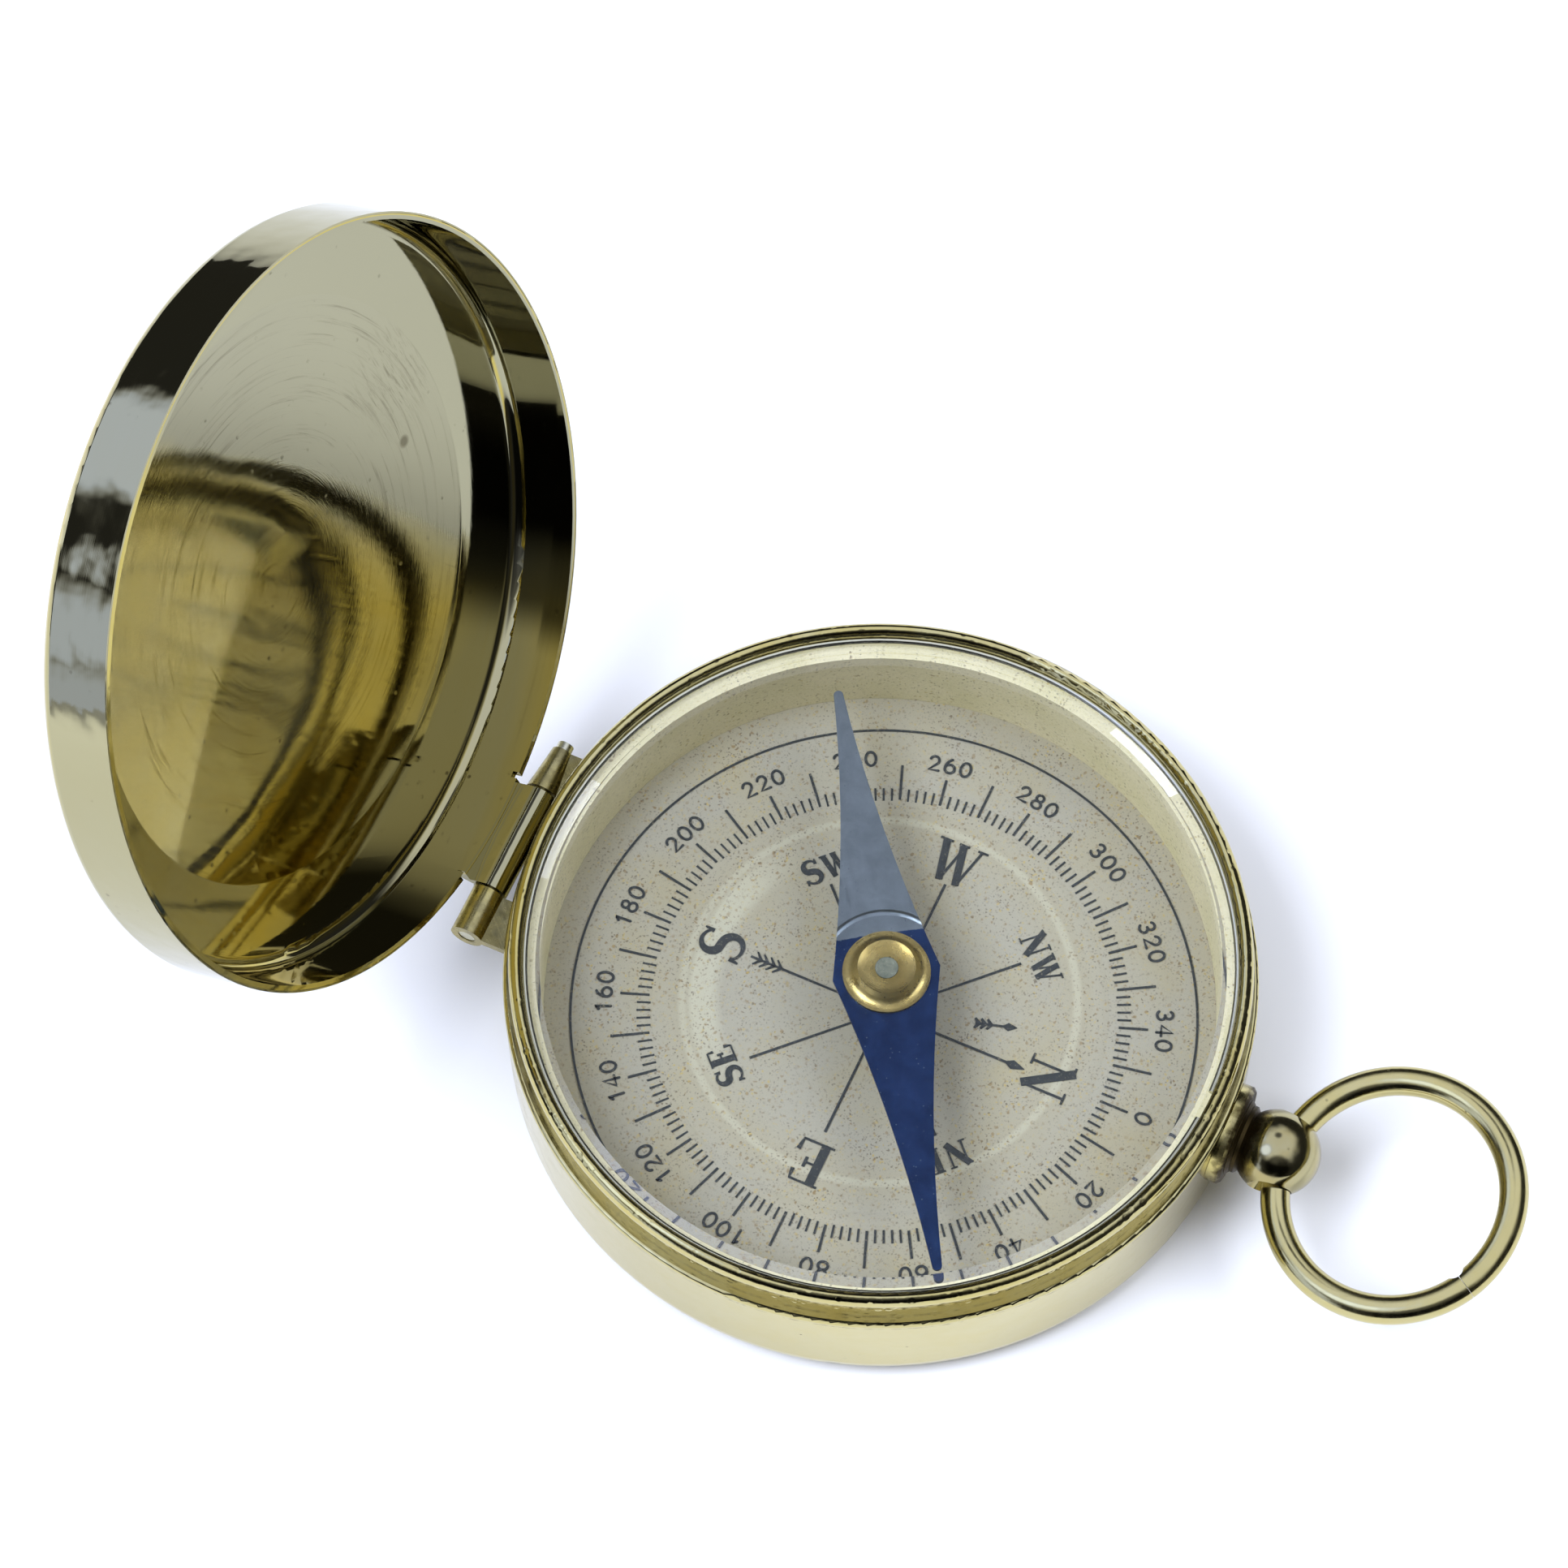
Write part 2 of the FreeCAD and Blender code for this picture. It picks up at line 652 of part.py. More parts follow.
stem = turned_body("pendant_stem", [
    ("-shank_end_x", "0"),
    ("-shank_end_x", "shank_radius"),
    ("-neck_seat_x", "shank_radius"),
    ("-neck_seat_x", "neck_radius"),
    ("-neck_x", "neck_radius"),
    ("-ball_joint_x", "ball_joint_radius", "on_x", 1),
    ("ball_end_x", "0"),
], "XY_Plane", "H_Axis")
ball_hole = new_sketch(stem, "bow_hole_section", "XY_Plane")
closed_profile(ball_hole, [
    ("0", "-hole_half_length"),
    ("hole_mouth", "-hole_half_length", "hole_arc", 1),
    ("hole_mouth", "hole_half_length"),
    ("0", "hole_half_length"),
])
add_turned(stem, "Groove", "bow_hole", ball_hole)
ball_centre = FreeCAD.Vector(DIMS["ball_x"], 0, DIMS["ball_z"])
on_stem = FreeCAD.Placement(ball_centre, FreeCAD.Rotation(ALONG_X, DIMS["ball_roll"]))
stem.Placement = on_stem

washer_start = FreeCAD.Vector(DIMS["washer_x"], 0, DIMS["ball_z"])
disc = cut_cylinder("washer_disc", "washer_radius", "washer_thick", washer_start, ALONG_X)
eye = cut_cylinder("washer_eye", "collar_bore", "washer_thick", washer_start, ALONG_X)
washer = doc.addObject("Part::Cut", "pendant_washer")
washer.Base, washer.Tool = disc, eye
washer.Label = "pendant_washer"

bow = new_body("bow_ring")
bow_sketch = new_sketch(bow, "bow_wire_section")
add_circle(bow_sketch, "bow_radius", "0", "bow_wire")
bow_turned = add_turned(bow, "Revolution", "bow_turned", bow_sketch)
bow_turned.setExpression("Angle", "360 - Dims.bow_gap")
notch = new_sketch(bow, "bow_end_notch", "XY_Plane", FreeCAD.Vector(0, 0, -DIMS["bow_wire"]))
notch.setExpression("AttachmentOffset.Base.z", "-Dims.bow_wire")
add_circle(notch, "bow_notch_x", "0", "bow_notch")
add_extruded(bow, "Pocket", "bow_end_notch_cut", notch, "bow_wire + bow_wire", backwards=True)
gap_turn = FreeCAD.Rotation(UP, -DIMS["bow_gap_middle"] + DIMS["bow_gap"] / 2)
lift = FreeCAD.Placement(FreeCAD.Vector(0, 0, 0), FreeCAD.Rotation(ALONG_Y, -DIMS["bow_tilt"]))
reach = FreeCAD.Placement(FreeCAD.Vector(DIMS["bow_radius"], 0, 0), gap_turn)
bow.Placement = on_stem.multiply(lift).multiply(reach)

# --- check and export -------------------------------------------------------------------

NODES = [
    "case_cup", "case_bezel", "glass", "glass_snap_ring", "spacer_ring", "dial_card", "dial_plate",
    "pivot_base", "pivot_pin", "needle_blade", "needle_cap", "cap_jewel", "hinge_knuckle_upper",
    "hinge_knuckle_lower", "hinge_pin", "lid_shell", "pendant_collar", "pendant_stem",
    "pendant_washer", "bow_ring",
]

doc.recompute()
for item in doc.Objects:
    if "Invalid" in item.State or "Error" in item.State:
        raise RuntimeError(f"{item.Name}: {item.State}")
for label in NODES:
    node = doc.getObjectsByLabel(label)[0]
    shape = node.Shape
    if shape.isNull() or not shape.isValid() or len(shape.Solids) != 1:
        raise RuntimeError(f"{label}: shape is not one valid solid")
    shape.exportStep(f"parts/{label}.step")
    print(label, round(shape.Volume, 3))
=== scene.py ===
import json
import math

import bmesh
import bpy
from mathutils import Matrix, Vector


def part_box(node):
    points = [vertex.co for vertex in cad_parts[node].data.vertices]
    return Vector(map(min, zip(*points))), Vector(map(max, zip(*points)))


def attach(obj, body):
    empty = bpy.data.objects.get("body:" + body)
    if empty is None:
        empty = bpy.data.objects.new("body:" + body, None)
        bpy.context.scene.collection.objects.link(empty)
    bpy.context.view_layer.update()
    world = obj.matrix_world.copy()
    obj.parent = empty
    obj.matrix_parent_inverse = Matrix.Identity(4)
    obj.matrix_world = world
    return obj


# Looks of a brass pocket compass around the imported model. Lengths are in metres, in its frame:
# origin in the middle of the flat underside, +X towards the pendant, the hinge at -X.

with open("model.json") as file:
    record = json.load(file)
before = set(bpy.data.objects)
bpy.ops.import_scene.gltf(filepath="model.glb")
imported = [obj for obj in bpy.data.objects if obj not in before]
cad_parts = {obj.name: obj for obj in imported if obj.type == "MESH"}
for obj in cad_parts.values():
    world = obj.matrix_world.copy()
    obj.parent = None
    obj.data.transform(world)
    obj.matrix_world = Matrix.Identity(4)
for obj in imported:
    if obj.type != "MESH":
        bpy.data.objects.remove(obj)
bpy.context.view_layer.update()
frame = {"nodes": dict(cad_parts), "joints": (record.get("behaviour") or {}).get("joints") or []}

MM = 0.001
NODES = frame["nodes"]
JOINTS = {joint["name"]: joint for joint in frame["joints"]}


def middle(node):
    """Centre of a node's box, in metres."""
    low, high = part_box(node)
    return (low + high) / 2


# --- node graphs ------------------------------------------------------------------------


class Graph:
    """One material's nodes, with short names for the steps that repeat."""

    def __init__(self, name):
        self.material = bpy.data.materials.new(name)
        self.material.use_nodes = True
        self.tree = self.material.node_tree
        self.shader = self.tree.nodes["Principled BSDF"]
        self.output = self.tree.nodes["Material Output"]

    def node(self, kind, inputs=None, **settings):
        made = self.tree.nodes.new(kind)
        for key, setting in settings.items():
            setattr(made, key, setting)
        for key, source in (inputs or {}).items():
            self.feed(made.inputs[key], source)
        return made

    def feed(self, socket, source):
        if isinstance(source, bpy.types.NodeSocket):
            self.tree.links.new(source, socket)
        else:
            socket.default_value = source

    def set(self, **inputs):
        """Set or link inputs of the Principled shader; Base_Color stands for Base Color."""
        for key, source in inputs.items():
            self.feed(self.shader.inputs[key.replace("_", " ")], source)

    def math(self, operation, first, second=0.0):
        return self.node("ShaderNodeMath", {0: first, 1: second}, operation=operation).outputs[0]

    def plus(self, first, second):
        return self.math("ADD", first, second)

    def minus(self, first, second):
        return self.math("SUBTRACT", first, second)

    def times(self, first, second):
        return self.math("MULTIPLY", first, second)

    def most(self, first, second):
        return self.math("MAXIMUM", first, second)

    def gap(self, source, target):
        """Distance of a value from a number."""
        return self.math("ABSOLUTE", self.minus(source, target))

    def vector(self, operation, first, second=(0.0, 0.0, 0.0)):
        made = self.node("ShaderNodeVectorMath", {0: first, 1: second}, operation=operation)
        return made.outputs[0]

    def length(self, source):
        return self.node("ShaderNodeVectorMath", {0: source}, operation="LENGTH").outputs["Value"]

    def dot(self, first, second):
        made = self.node("ShaderNodeVectorMath", {0: first, 1: second}, operation="DOT_PRODUCT")
        return made.outputs["Value"]

    def join(self, x, y, z):
        return self.node("ShaderNodeCombineXYZ", {0: x, 1: y, 2: z}).outputs[0]

    def split(self, source):
        return self.node("ShaderNodeSeparateXYZ", {0: source}).outputs

    def span(self, source, low, high, to_low=0.0, to_high=1.0, smooth=False):
        """Map low..high of a value to to_low..to_high, held at the ends."""
        made = self.node("ShaderNodeMapRange", {
            "Value": source, "From Min": low, "From Max": high,
            "To Min": to_low, "To Max": to_high})
        made.interpolation_type = "SMOOTHSTEP" if smooth else "LINEAR"
        return made.outputs["Result"]

    def noise(self, place, scale, detail=3.0, roughness=0.55, distortion=0.0):
        made = self.node("ShaderNodeTexNoise", {
            "Vector": place, "Scale": scale, "Detail": detail, "Roughness": roughness,
            "Distortion": distortion})
        return made.outputs["Fac"]

    def specks(self, place, scale, size, share):
        """1 inside round specks. size is their radius in cells, share how many cells have one."""
        cells = self.node("ShaderNodeTexVoronoi", {"Vector": place, "Scale": scale})
        dot = self.span(cells.outputs["Distance"], size * 0.5, size, 1.0, 0.0)
        pick = self.split(cells.outputs["Color"])[0]
        return self.times(dot, self.math("LESS_THAN", pick, share))

    def blend(self, factor, first, second):
        made = self.node("ShaderNodeMix", data_type="RGBA")
        for index, source in ((0, factor), (6, first), (7, second)):
            self.feed(made.inputs[index], source)
        return made.outputs[2]

    def bump(self, height, distance, base=None):
        made = self.node("ShaderNodeBump", {
            "Height": height, "Distance": distance, "Strength": 1.0})
        if base is not None:
            self.feed(made.inputs["Normal"], base)
        return made.outputs["Normal"]

    def place(self, axes=None, origin=(0.0, 0.0, 0.0)):
        """Object position in millimetres, along the given axes about the given point in metres."""
        here = self.node("ShaderNodeTexCoord").outputs["Object"]
        moved = self.vector("SUBTRACT", here, tuple(origin))
        scaled = self.vector("MULTIPLY", moved, (1 / MM, 1 / MM, 1 / MM))
        if axes is None:
            return scaled
        return self.join(*[self.dot(scaled, tuple(axis)) for axis in axes])


def rgb(red, green, blue):
    return (red, green, blue, 1.0)


POLE = 2.5  # millimetres inside which streaks dissolve, so that none meet in a point


def around(graph, place, wraps, fine):
    """Coordinates that run in long streaks round the local Z axis, with no seam."""
    x, y, z = graph.split(place)[0:3]
    flat = graph.join(x, y, 0.0)
    radius = graph.length(flat)
    reach = graph.plus(radius, POLE)
    unit = graph.vector("DIVIDE", flat, graph.join(reach, reach, 1.0))
    ux, uy, _ = graph.split(unit)[0:3]
    depth = graph.times(graph.plus(radius, z), fine)
    return graph.join(graph.times(ux, wraps), graph.times(uy, wraps), depth)


# --- materials --------------------------------------------------------------------------

PALE_BRASS = rgb(0.49, 0.43, 0.20)
WARM_BRASS = rgb(0.48, 0.38, 0.09)
HAZE_AND_REFLECTION_BRASS = rgb(0.325, 0.305, 0.19)
TARNISH_AND_SHADE = rgb(0.055, 0.038, 0.013)


def brass(name, axes=None, origin=(0.0, 0.0, 0.0), gloss=0.12, grain=0.0016, warmth=0.35, dirt=None,
          nicks=0.0, tones=(PALE_BRASS, WARM_BRASS)):
    """Polished brass: scratches turned about the local Z axis, a warm film in patches, specks.

    A function passed in gives extra darkening from 0 to 1 over the place: tarnish on most parts,
    painted shade in the pendant's neck.
    """
    graph = Graph(name)
    place = graph.place(axes, origin)
    streaks = around(graph, place, 3.0, 7.0)
    lines = graph.noise(streaks, 1.0, 4.0, 0.7)
    wide = graph.noise(place, 0.22, 3.0, 0.6, 0.6)
    mid = graph.noise(place, 1.1, 4.0, 0.6)
    film = graph.times(graph.span(wide, 0.35, 0.75, smooth=True), warmth)
    film = graph.plus(film, graph.span(mid, 0.5, 0.8, 0.0, 0.18))
    colour = graph.blend(film, *tones)
    marks = graph.specks(place, 1.5, 0.17, 0.25)
    thick = graph.span(graph.noise(place, 0.35, 2.0), 0.5, 0.68)
    darkening = graph.times(graph.times(marks, thick), 0.7)
    if dirt is not None:
        # Extra darkening from the passed-in function joins here; on the pendant's neck it is
        # painted shade.
        darkening = graph.most(darkening, dirt(graph, place))
    colour = graph.blend(darkening, colour, TARNISH_AND_SHADE)
    smudge = graph.span(graph.noise(place, 0.5, 5.0, 0.65, 1.0), 0.35, 0.75, 0.0, 0.14)
    rough = graph.plus(smudge, graph.span(lines, 0.3, 0.75, gloss * 0.6, gloss * 1.5))
    rough = graph.plus(rough, graph.times(darkening, 0.35))
    dents = graph.times(graph.noise(place, 0.7, 2.0), 6.0)
    height = graph.plus(lines, dents)
    if nicks:
        pits = graph.specks(place, 1.7, 0.45, 0.5)
        height = graph.plus(height, graph.times(pits, -nicks))
        height = graph.plus(height, graph.times(graph.noise(place, 1.6, 2.0), nicks))
    graph.set(Base_Color=colour, Metallic=1.0, Roughness=rough,
              Normal=graph.bump(height, grain * MM))
    return graph.material


SEAM_REACH = 0.12  # millimetres above and below a seam that its tarnish covers


def seam_dirt(level, strength):
    """Tarnish that gathers along the ring where two parts meet, at one height in millimetres."""
    def dirt(graph, place):
        z = graph.split(place)[2]
        near = graph.span(graph.gap(z, level), 0.0, SEAM_REACH, 1.0, 0.0)
        patches = graph.span(graph.noise(place, 1.3, 4.0, 0.7), 0.42, 0.62)
        return graph.times(graph.times(near, patches), strength)
    return dirt


def film_dirt(strength):
    """Brown film in clouds all over a part."""
    def dirt(graph, place):
        return graph.span(graph.noise(place, 0.8, 5.0, 0.65), 0.35, 0.65, 0.25 * strength, strength)
    return dirt


def neck_dirt(unshaded, black):
    """Painted shade along the part's own axis, where the pendant's neck between collar and ball
    lies in shadow: black at one place, gone at the other, in millimetres.
    """
    def dirt(graph, place):
        ragged = graph.span(graph.noise(place, 1.6, 4.0), 0.3, 0.7, -0.3, 0.3)
        along = graph.plus(graph.split(place)[2], ragged)
        return graph.span(along, black, unshaded, 1.0, 0.0)
    return dirt


# Lid, in millimetres about its own axis, with Z at 0 on the rim and up into the crown.
DISC_RADIUS = 17.7
DISC_FLOOR = 4.83
DISC_LEAN = 0.0563  # the worn disc leans in its rim by this slope, seen in what it mirrors
CROWN_RISE = 1.105  # from the edge of the disc to its middle
CROWN_SPHERE = 141.8  # radius of the sphere the crown is part of
BRIM_SLOPE = 0.109  # fall of the brim outside the disc, per millimetre
BRIM_EDGE = 22.3
WALL_MIDDLE = 22.93
WALL_TOP = 4.1
BAND_TOP = 4.0  # the film outside fades out from here to the rounded corner
CURL_START = 23.1  # the hinge tongue begins this far from the axis
HAZE_AND_REFLECTION_TILT = 0.42  # slope of the grey film's edge across the lid; this edge follows a change in what the lid mirrors, so it is in part a painted reflection
RUBBED_AT = (1.0, 15.3, 0.0)
SPOT_AT = (-3.2, 13.4, 0.0)
LID_GRAIN = 0.0024


def lid_areas(graph, place):
    """Where the inner disc, the hollow, the outer wall and the crown's outer middle are, 0 to 1."""
    x, y, z = graph.split(place)[0:3]
    out = graph.length(graph.join(x, y, 0.0))
    over_disc = graph.span(out, DISC_RADIUS - 0.1, DISC_RADIUS, 1.0, 0.0)
    bowl = graph.times(graph.times(out, out), CROWN_RISE / DISC_RADIUS ** 2)
    brim = graph.most(graph.minus(out, DISC_RADIUS), 0.0)
    fall = graph.plus(graph.math("MINIMUM", bowl, CROWN_RISE), graph.times(brim, BRIM_SLOPE))
    apex = DISC_FLOOR + CROWN_RISE
    under_crown = graph.span(graph.plus(z, fall), apex + 0.15, apex + 0.3, 1.0, 0.0)
    on_floor = graph.times(under_crown, graph.span(out, BRIM_EDGE - 0.1, BRIM_EDGE, 1.0, 0.0))
    on_wall = graph.times(graph.span(z, WALL_TOP - 0.05, WALL_TOP + 0.05, 1.0, 0.0),
                          graph.span(out, WALL_MIDDLE - 0.03, WALL_MIDDLE + 0.02, 1.0, 0.0))
    hollow = graph.most(on_floor, on_wall)
    band = graph.times(graph.span(z, BAND_TOP + 0.5, BAND_TOP), graph.span(out, 23.0, 23.05))
    middle_part = graph.span(out, 6.0, 16.0, 1.0, 0.0, smooth=True)
    outer_pole = graph.times(middle_part, graph.minus(1.0, under_crown))
    return graph.times(over_disc, under_crown), hollow, band, outer_pole


def lid_haze(graph, place, wide, hollow, band):
    """Grey film: on the hollow's upper part, by the hinge, on the tongue and the outer wall. On the
    hollow its edge is laid along a change in what the lid mirrors, so there it is in part a painted
    reflection.
    """
    x, y, _ = graph.split(place)[0:3]
    across = graph.plus(y, graph.times(x, HAZE_AND_REFLECTION_TILT))
    drift = graph.plus(across, graph.span(wide, 0.2, 0.8, -1.5, 1.5))
    # Painted reflection in part: the grey over the hollow ends along a change in the lid's mirrored
    # view.
    haze = graph.times(graph.span(drift, 1.0, 7.5, smooth=True), hollow)
    by_hinge = graph.times(graph.span(x, -18.0, -13.0, 0.75, 0.0), hollow)
    tongue = graph.span(x, -CURL_START - 0.1, -CURL_START, 0.75, 0.0)
    haze = graph.most(haze, graph.most(by_hinge, tongue))
    return graph.most(haze, graph.times(band, 0.85))


def lid_scuffs(graph, place, wide, swirl, disc):
    """Dark marks on the inner disc: of spinning, of rubbing near the top, and one spot."""
    x, y, _ = graph.split(place)[0:3]
    flat = graph.join(x, y, 0.0)
    to_rub = graph.length(graph.vector("SUBTRACT", flat, RUBBED_AT))
    stretched = graph.vector("MULTIPLY", place, (0.5, 5.0, 1.0))
    scratch = graph.span(graph.noise(stretched, 1.0, 5.0, 0.75), 0.5, 0.66)
    rubbed = graph.times(graph.span(to_rub, 1.0, 5.0, 1.0, 0.0, smooth=True), scratch)
    to_spot = graph.length(graph.vector("SUBTRACT", flat, SPOT_AT))
    marks = graph.most(graph.times(rubbed, 0.45), graph.span(to_spot, 0.25, 0.5, 0.6, 0.0))
    turned = graph.times(swirl, graph.span(wide, 0.4, 0.6, 0.15, 0.5))
    return graph.times(graph.most(turned, marks), disc)


def lid_brass(axes, origin):
    """Lid: polished brass that keeps the marks of spinning, greyed by film in places; the grey
    across the hollow is in part a painted reflection.
    """
    graph = Graph("lid_brass")
    place = graph.place(axes, origin)
    disc, hollow, band, outer_pole = lid_areas(graph, place)
    streaks = around(graph, place, 1.6, 3.4)
    broad = graph.noise(streaks, 1.0, 5.0, 0.75)
    fine_place = around(graph, place, 9.0, 16.0)
    fine = graph.noise(fine_place, 1.0, 2.0, 0.6)
    swirl = graph.span(broad, 0.52, 0.72, smooth=True)
    wide = graph.noise(place, 0.12, 3.0, 0.55, 0.5)
    film = graph.plus(graph.span(wide, 0.35, 0.7, 0.5, 1.0), graph.times(swirl, 0.35))
    colour = graph.blend(film, PALE_BRASS, WARM_BRASS)
    colour = graph.blend(lid_haze(graph, place, wide, hollow, band), colour, HAZE_AND_REFLECTION_BRASS)
    patches = graph.span(graph.noise(place, 0.9, 5.0, 0.7), 0.45, 0.7)
    darkening = graph.times(graph.times(graph.specks(place, 1.1, 0.2, 0.3), patches), 0.8)
    scuffs = lid_scuffs(graph, place, wide, swirl, disc)
    colour = graph.blend(graph.most(darkening, scuffs), colour, TARNISH_AND_SHADE)
    rough = graph.plus(graph.span(broad, 0.3, 0.8, 0.02, 0.07), graph.times(disc, -0.01))
    rough = graph.plus(rough, graph.times(darkening, 0.3))
    dents = graph.times(graph.noise(place, 0.16, 1.0), 5.0)
    knocks = graph.times(graph.noise(place, 0.45, 1.5, 0.5), 20.0)
    height = graph.plus(graph.times(graph.plus(broad, fine), 0.22), dents)
    height = graph.plus(height, graph.times(band, knocks))
    facing = lid_normal(graph, place, axes, disc, outer_pole)
    graph.set(Base_Color=colour, Metallic=1.0, Roughness=rough,
              Normal=graph.bump(height, LID_GRAIN * MM, base=facing))
    return graph.material


def crown_normal(graph, place, axes, side, lean):
    """Normal of a true shallow crown, on its upper side (1) or its lower side (-1)."""
    x, y, _ = graph.split(place)[0:3]
    slope_x = graph.minus(graph.math("DIVIDE", x, side * CROWN_SPHERE), lean)
    slope_y = graph.math("DIVIDE", y, side * CROWN_SPHERE)
    parts = []
    for axis, amount in zip(axes, (slope_x, slope_y, float(side))):
        scaled = graph.node("ShaderNodeVectorMath", {0: tuple(axis), "Scale": amount},
                            operation="SCALE")
        parts.append(scaled.outputs[0])
    local_normal = graph.vector("ADD", graph.vector("ADD", parts[0], parts[1]), parts[2])
    swing = graph.node("ShaderNodeVectorTransform", {0: local_normal}, vector_type="NORMAL",
                       convert_from="OBJECT", convert_to="WORLD")
    return graph.vector("NORMALIZE", swing.outputs[0])


def lid_normal(graph, place, axes, disc, outer_pole):
    """Normal of the lid: that of a true crown over the inner disc and at the outer middle."""
    facing = graph.node("ShaderNodeNewGeometry").outputs["Normal"]
    for area, side, lean in ((disc, -1, DISC_LEAN), (outer_pole, 1, 0.0)):
        crown = crown_normal(graph, place, axes, side, lean)
        mix = graph.node("ShaderNodeMix", {0: area, 4: facing, 5: crown}, data_type="VECTOR")
        facing = mix.outputs[1]
    return facing


def steel(name, origin, gloss=0.28):
    """Bare steel wire or sheet with grinding lines across its length."""
    graph = Graph(name)
    place = graph.place(origin=origin)
    stretched = graph.vector("MULTIPLY", place, (0.6, 9.0, 1.0))
    lines = graph.noise(stretched, 1.0, 3.0, 0.7)
    wide = graph.noise(place, 0.5, 3.0)
    colour = graph.blend(wide, rgb(0.50, 0.50, 0.36), rgb(0.62, 0.58, 0.42))
    graph.set(Base_Color=colour, Metallic=1.0, Normal=graph.bump(lines, 0.003 * MM),
              Roughness=graph.span(lines, 0.3, 0.7, gloss * 0.8, gloss * 1.3))
    return graph.material


def needle_finish(axes, origin, blue_edge, root_ring):
    """Needle: one half bare ground steel, the other half and the hub blued.

    blue_edge is where the blue ends on the bare half, and root_ring the radius of a stamped arc.
    """
    graph = Graph("needle_steel")
    place = graph.place(axes, origin)
    x, y, _ = graph.split(place)[0:3]
    ragged = graph.times(graph.noise(place, 2.5, 3.0), 0.25)
    blue = graph.span(graph.plus(x, ragged), blue_edge + 0.10, blue_edge + 0.16, 1.0, 0.0)
    stretched = graph.vector("MULTIPLY", place, (0.7, 8.0, 1.0))
    lines = graph.noise(stretched, 1.0, 4.0, 0.75)
    blotch = graph.noise(place, 0.7, 4.0, 0.6, 0.4)
    bare = graph.blend(graph.span(blotch, 0.3, 0.7), rgb(0.14, 0.165, 0.165), rgb(0.19, 0.22, 0.22))
    blued = graph.blend(graph.span(blotch, 0.3, 0.75),
                        rgb(0.008, 0.021, 0.060), rgb(0.016, 0.038, 0.100))
    grit = graph.specks(place, 3.2, 0.16, 0.3)
    blued = graph.blend(graph.times(grit, 0.5), blued, rgb(0.16, 0.22, 0.24))
    bare = graph.blend(graph.times(grit, 0.5), bare, rgb(0.08, 0.09, 0.10))
    colour = graph.blend(blue, bare, blued)
    rough = graph.span(lines, 0.25, 0.75, 0.27, 0.42)
    flat = graph.join(x, y, 0.0)
    off_ring = graph.gap(graph.length(flat), root_ring)
    stamped = graph.times(graph.span(off_ring, 0.0, 0.22, 1.0, 0.0, smooth=True), 22.0)
    stamped = graph.times(stamped, graph.span(x, 1.0, 1.6))
    graph.set(Base_Color=colour, Metallic=1.0, Roughness=rough,
              Coat_Weight=0.03, Coat_Roughness=0.3,
              Normal=graph.bump(graph.plus(lines, stamped), 0.0035 * MM))
    return graph.material


PAPER_LIGHT = rgb(0.34, 0.31, 0.215)
PAPER_WARM = rgb(0.35, 0.30, 0.165)
PRESSED_RING = 12.2  # radius in millimetres of the faint ring pressed into the card
TO_HINGE = (-0.975, -0.157, 0.0)


def foxing(graph, place, colour, amount):
    """Age marks: brown and rusty specks in loose clouds over a base colour."""
    clouds = graph.span(graph.noise(place, 0.28, 3.0, 0.6), 0.38, 0.66, 0.35, 1.0)
    wobble = graph.node("ShaderNodeTexNoise", {"Vector": place, "Scale": 3.0}).outputs["Color"]
    warped = graph.vector("ADD", place, graph.vector("MULTIPLY", wobble, (0.35, 0.35, 0.35)))
    layers = (  # scale, radius in cells, share of cells, colour, strength
        (2.3, 0.30, 0.5, rgb(0.20, 0.12, 0.035), 0.8),
        (4.0, 0.32, 0.6, rgb(0.10, 0.070, 0.035), 0.8),
        (1.1, 0.16, 0.4, rgb(0.22, 0.13, 0.03), 0.7),
        (3.1, 0.32, 0.4, rgb(0.42, 0.30, 0.07), 0.75),
        (5.5, 0.36, 0.5, rgb(0.16, 0.13, 0.09), 0.6),
    )
    for scale, size, share, tint, strength in layers:
        dots = graph.specks(warped, scale, size, share * amount)
        cover = graph.times(graph.times(dots, clouds), strength)
        colour = graph.blend(cover, colour, tint)
    return colour


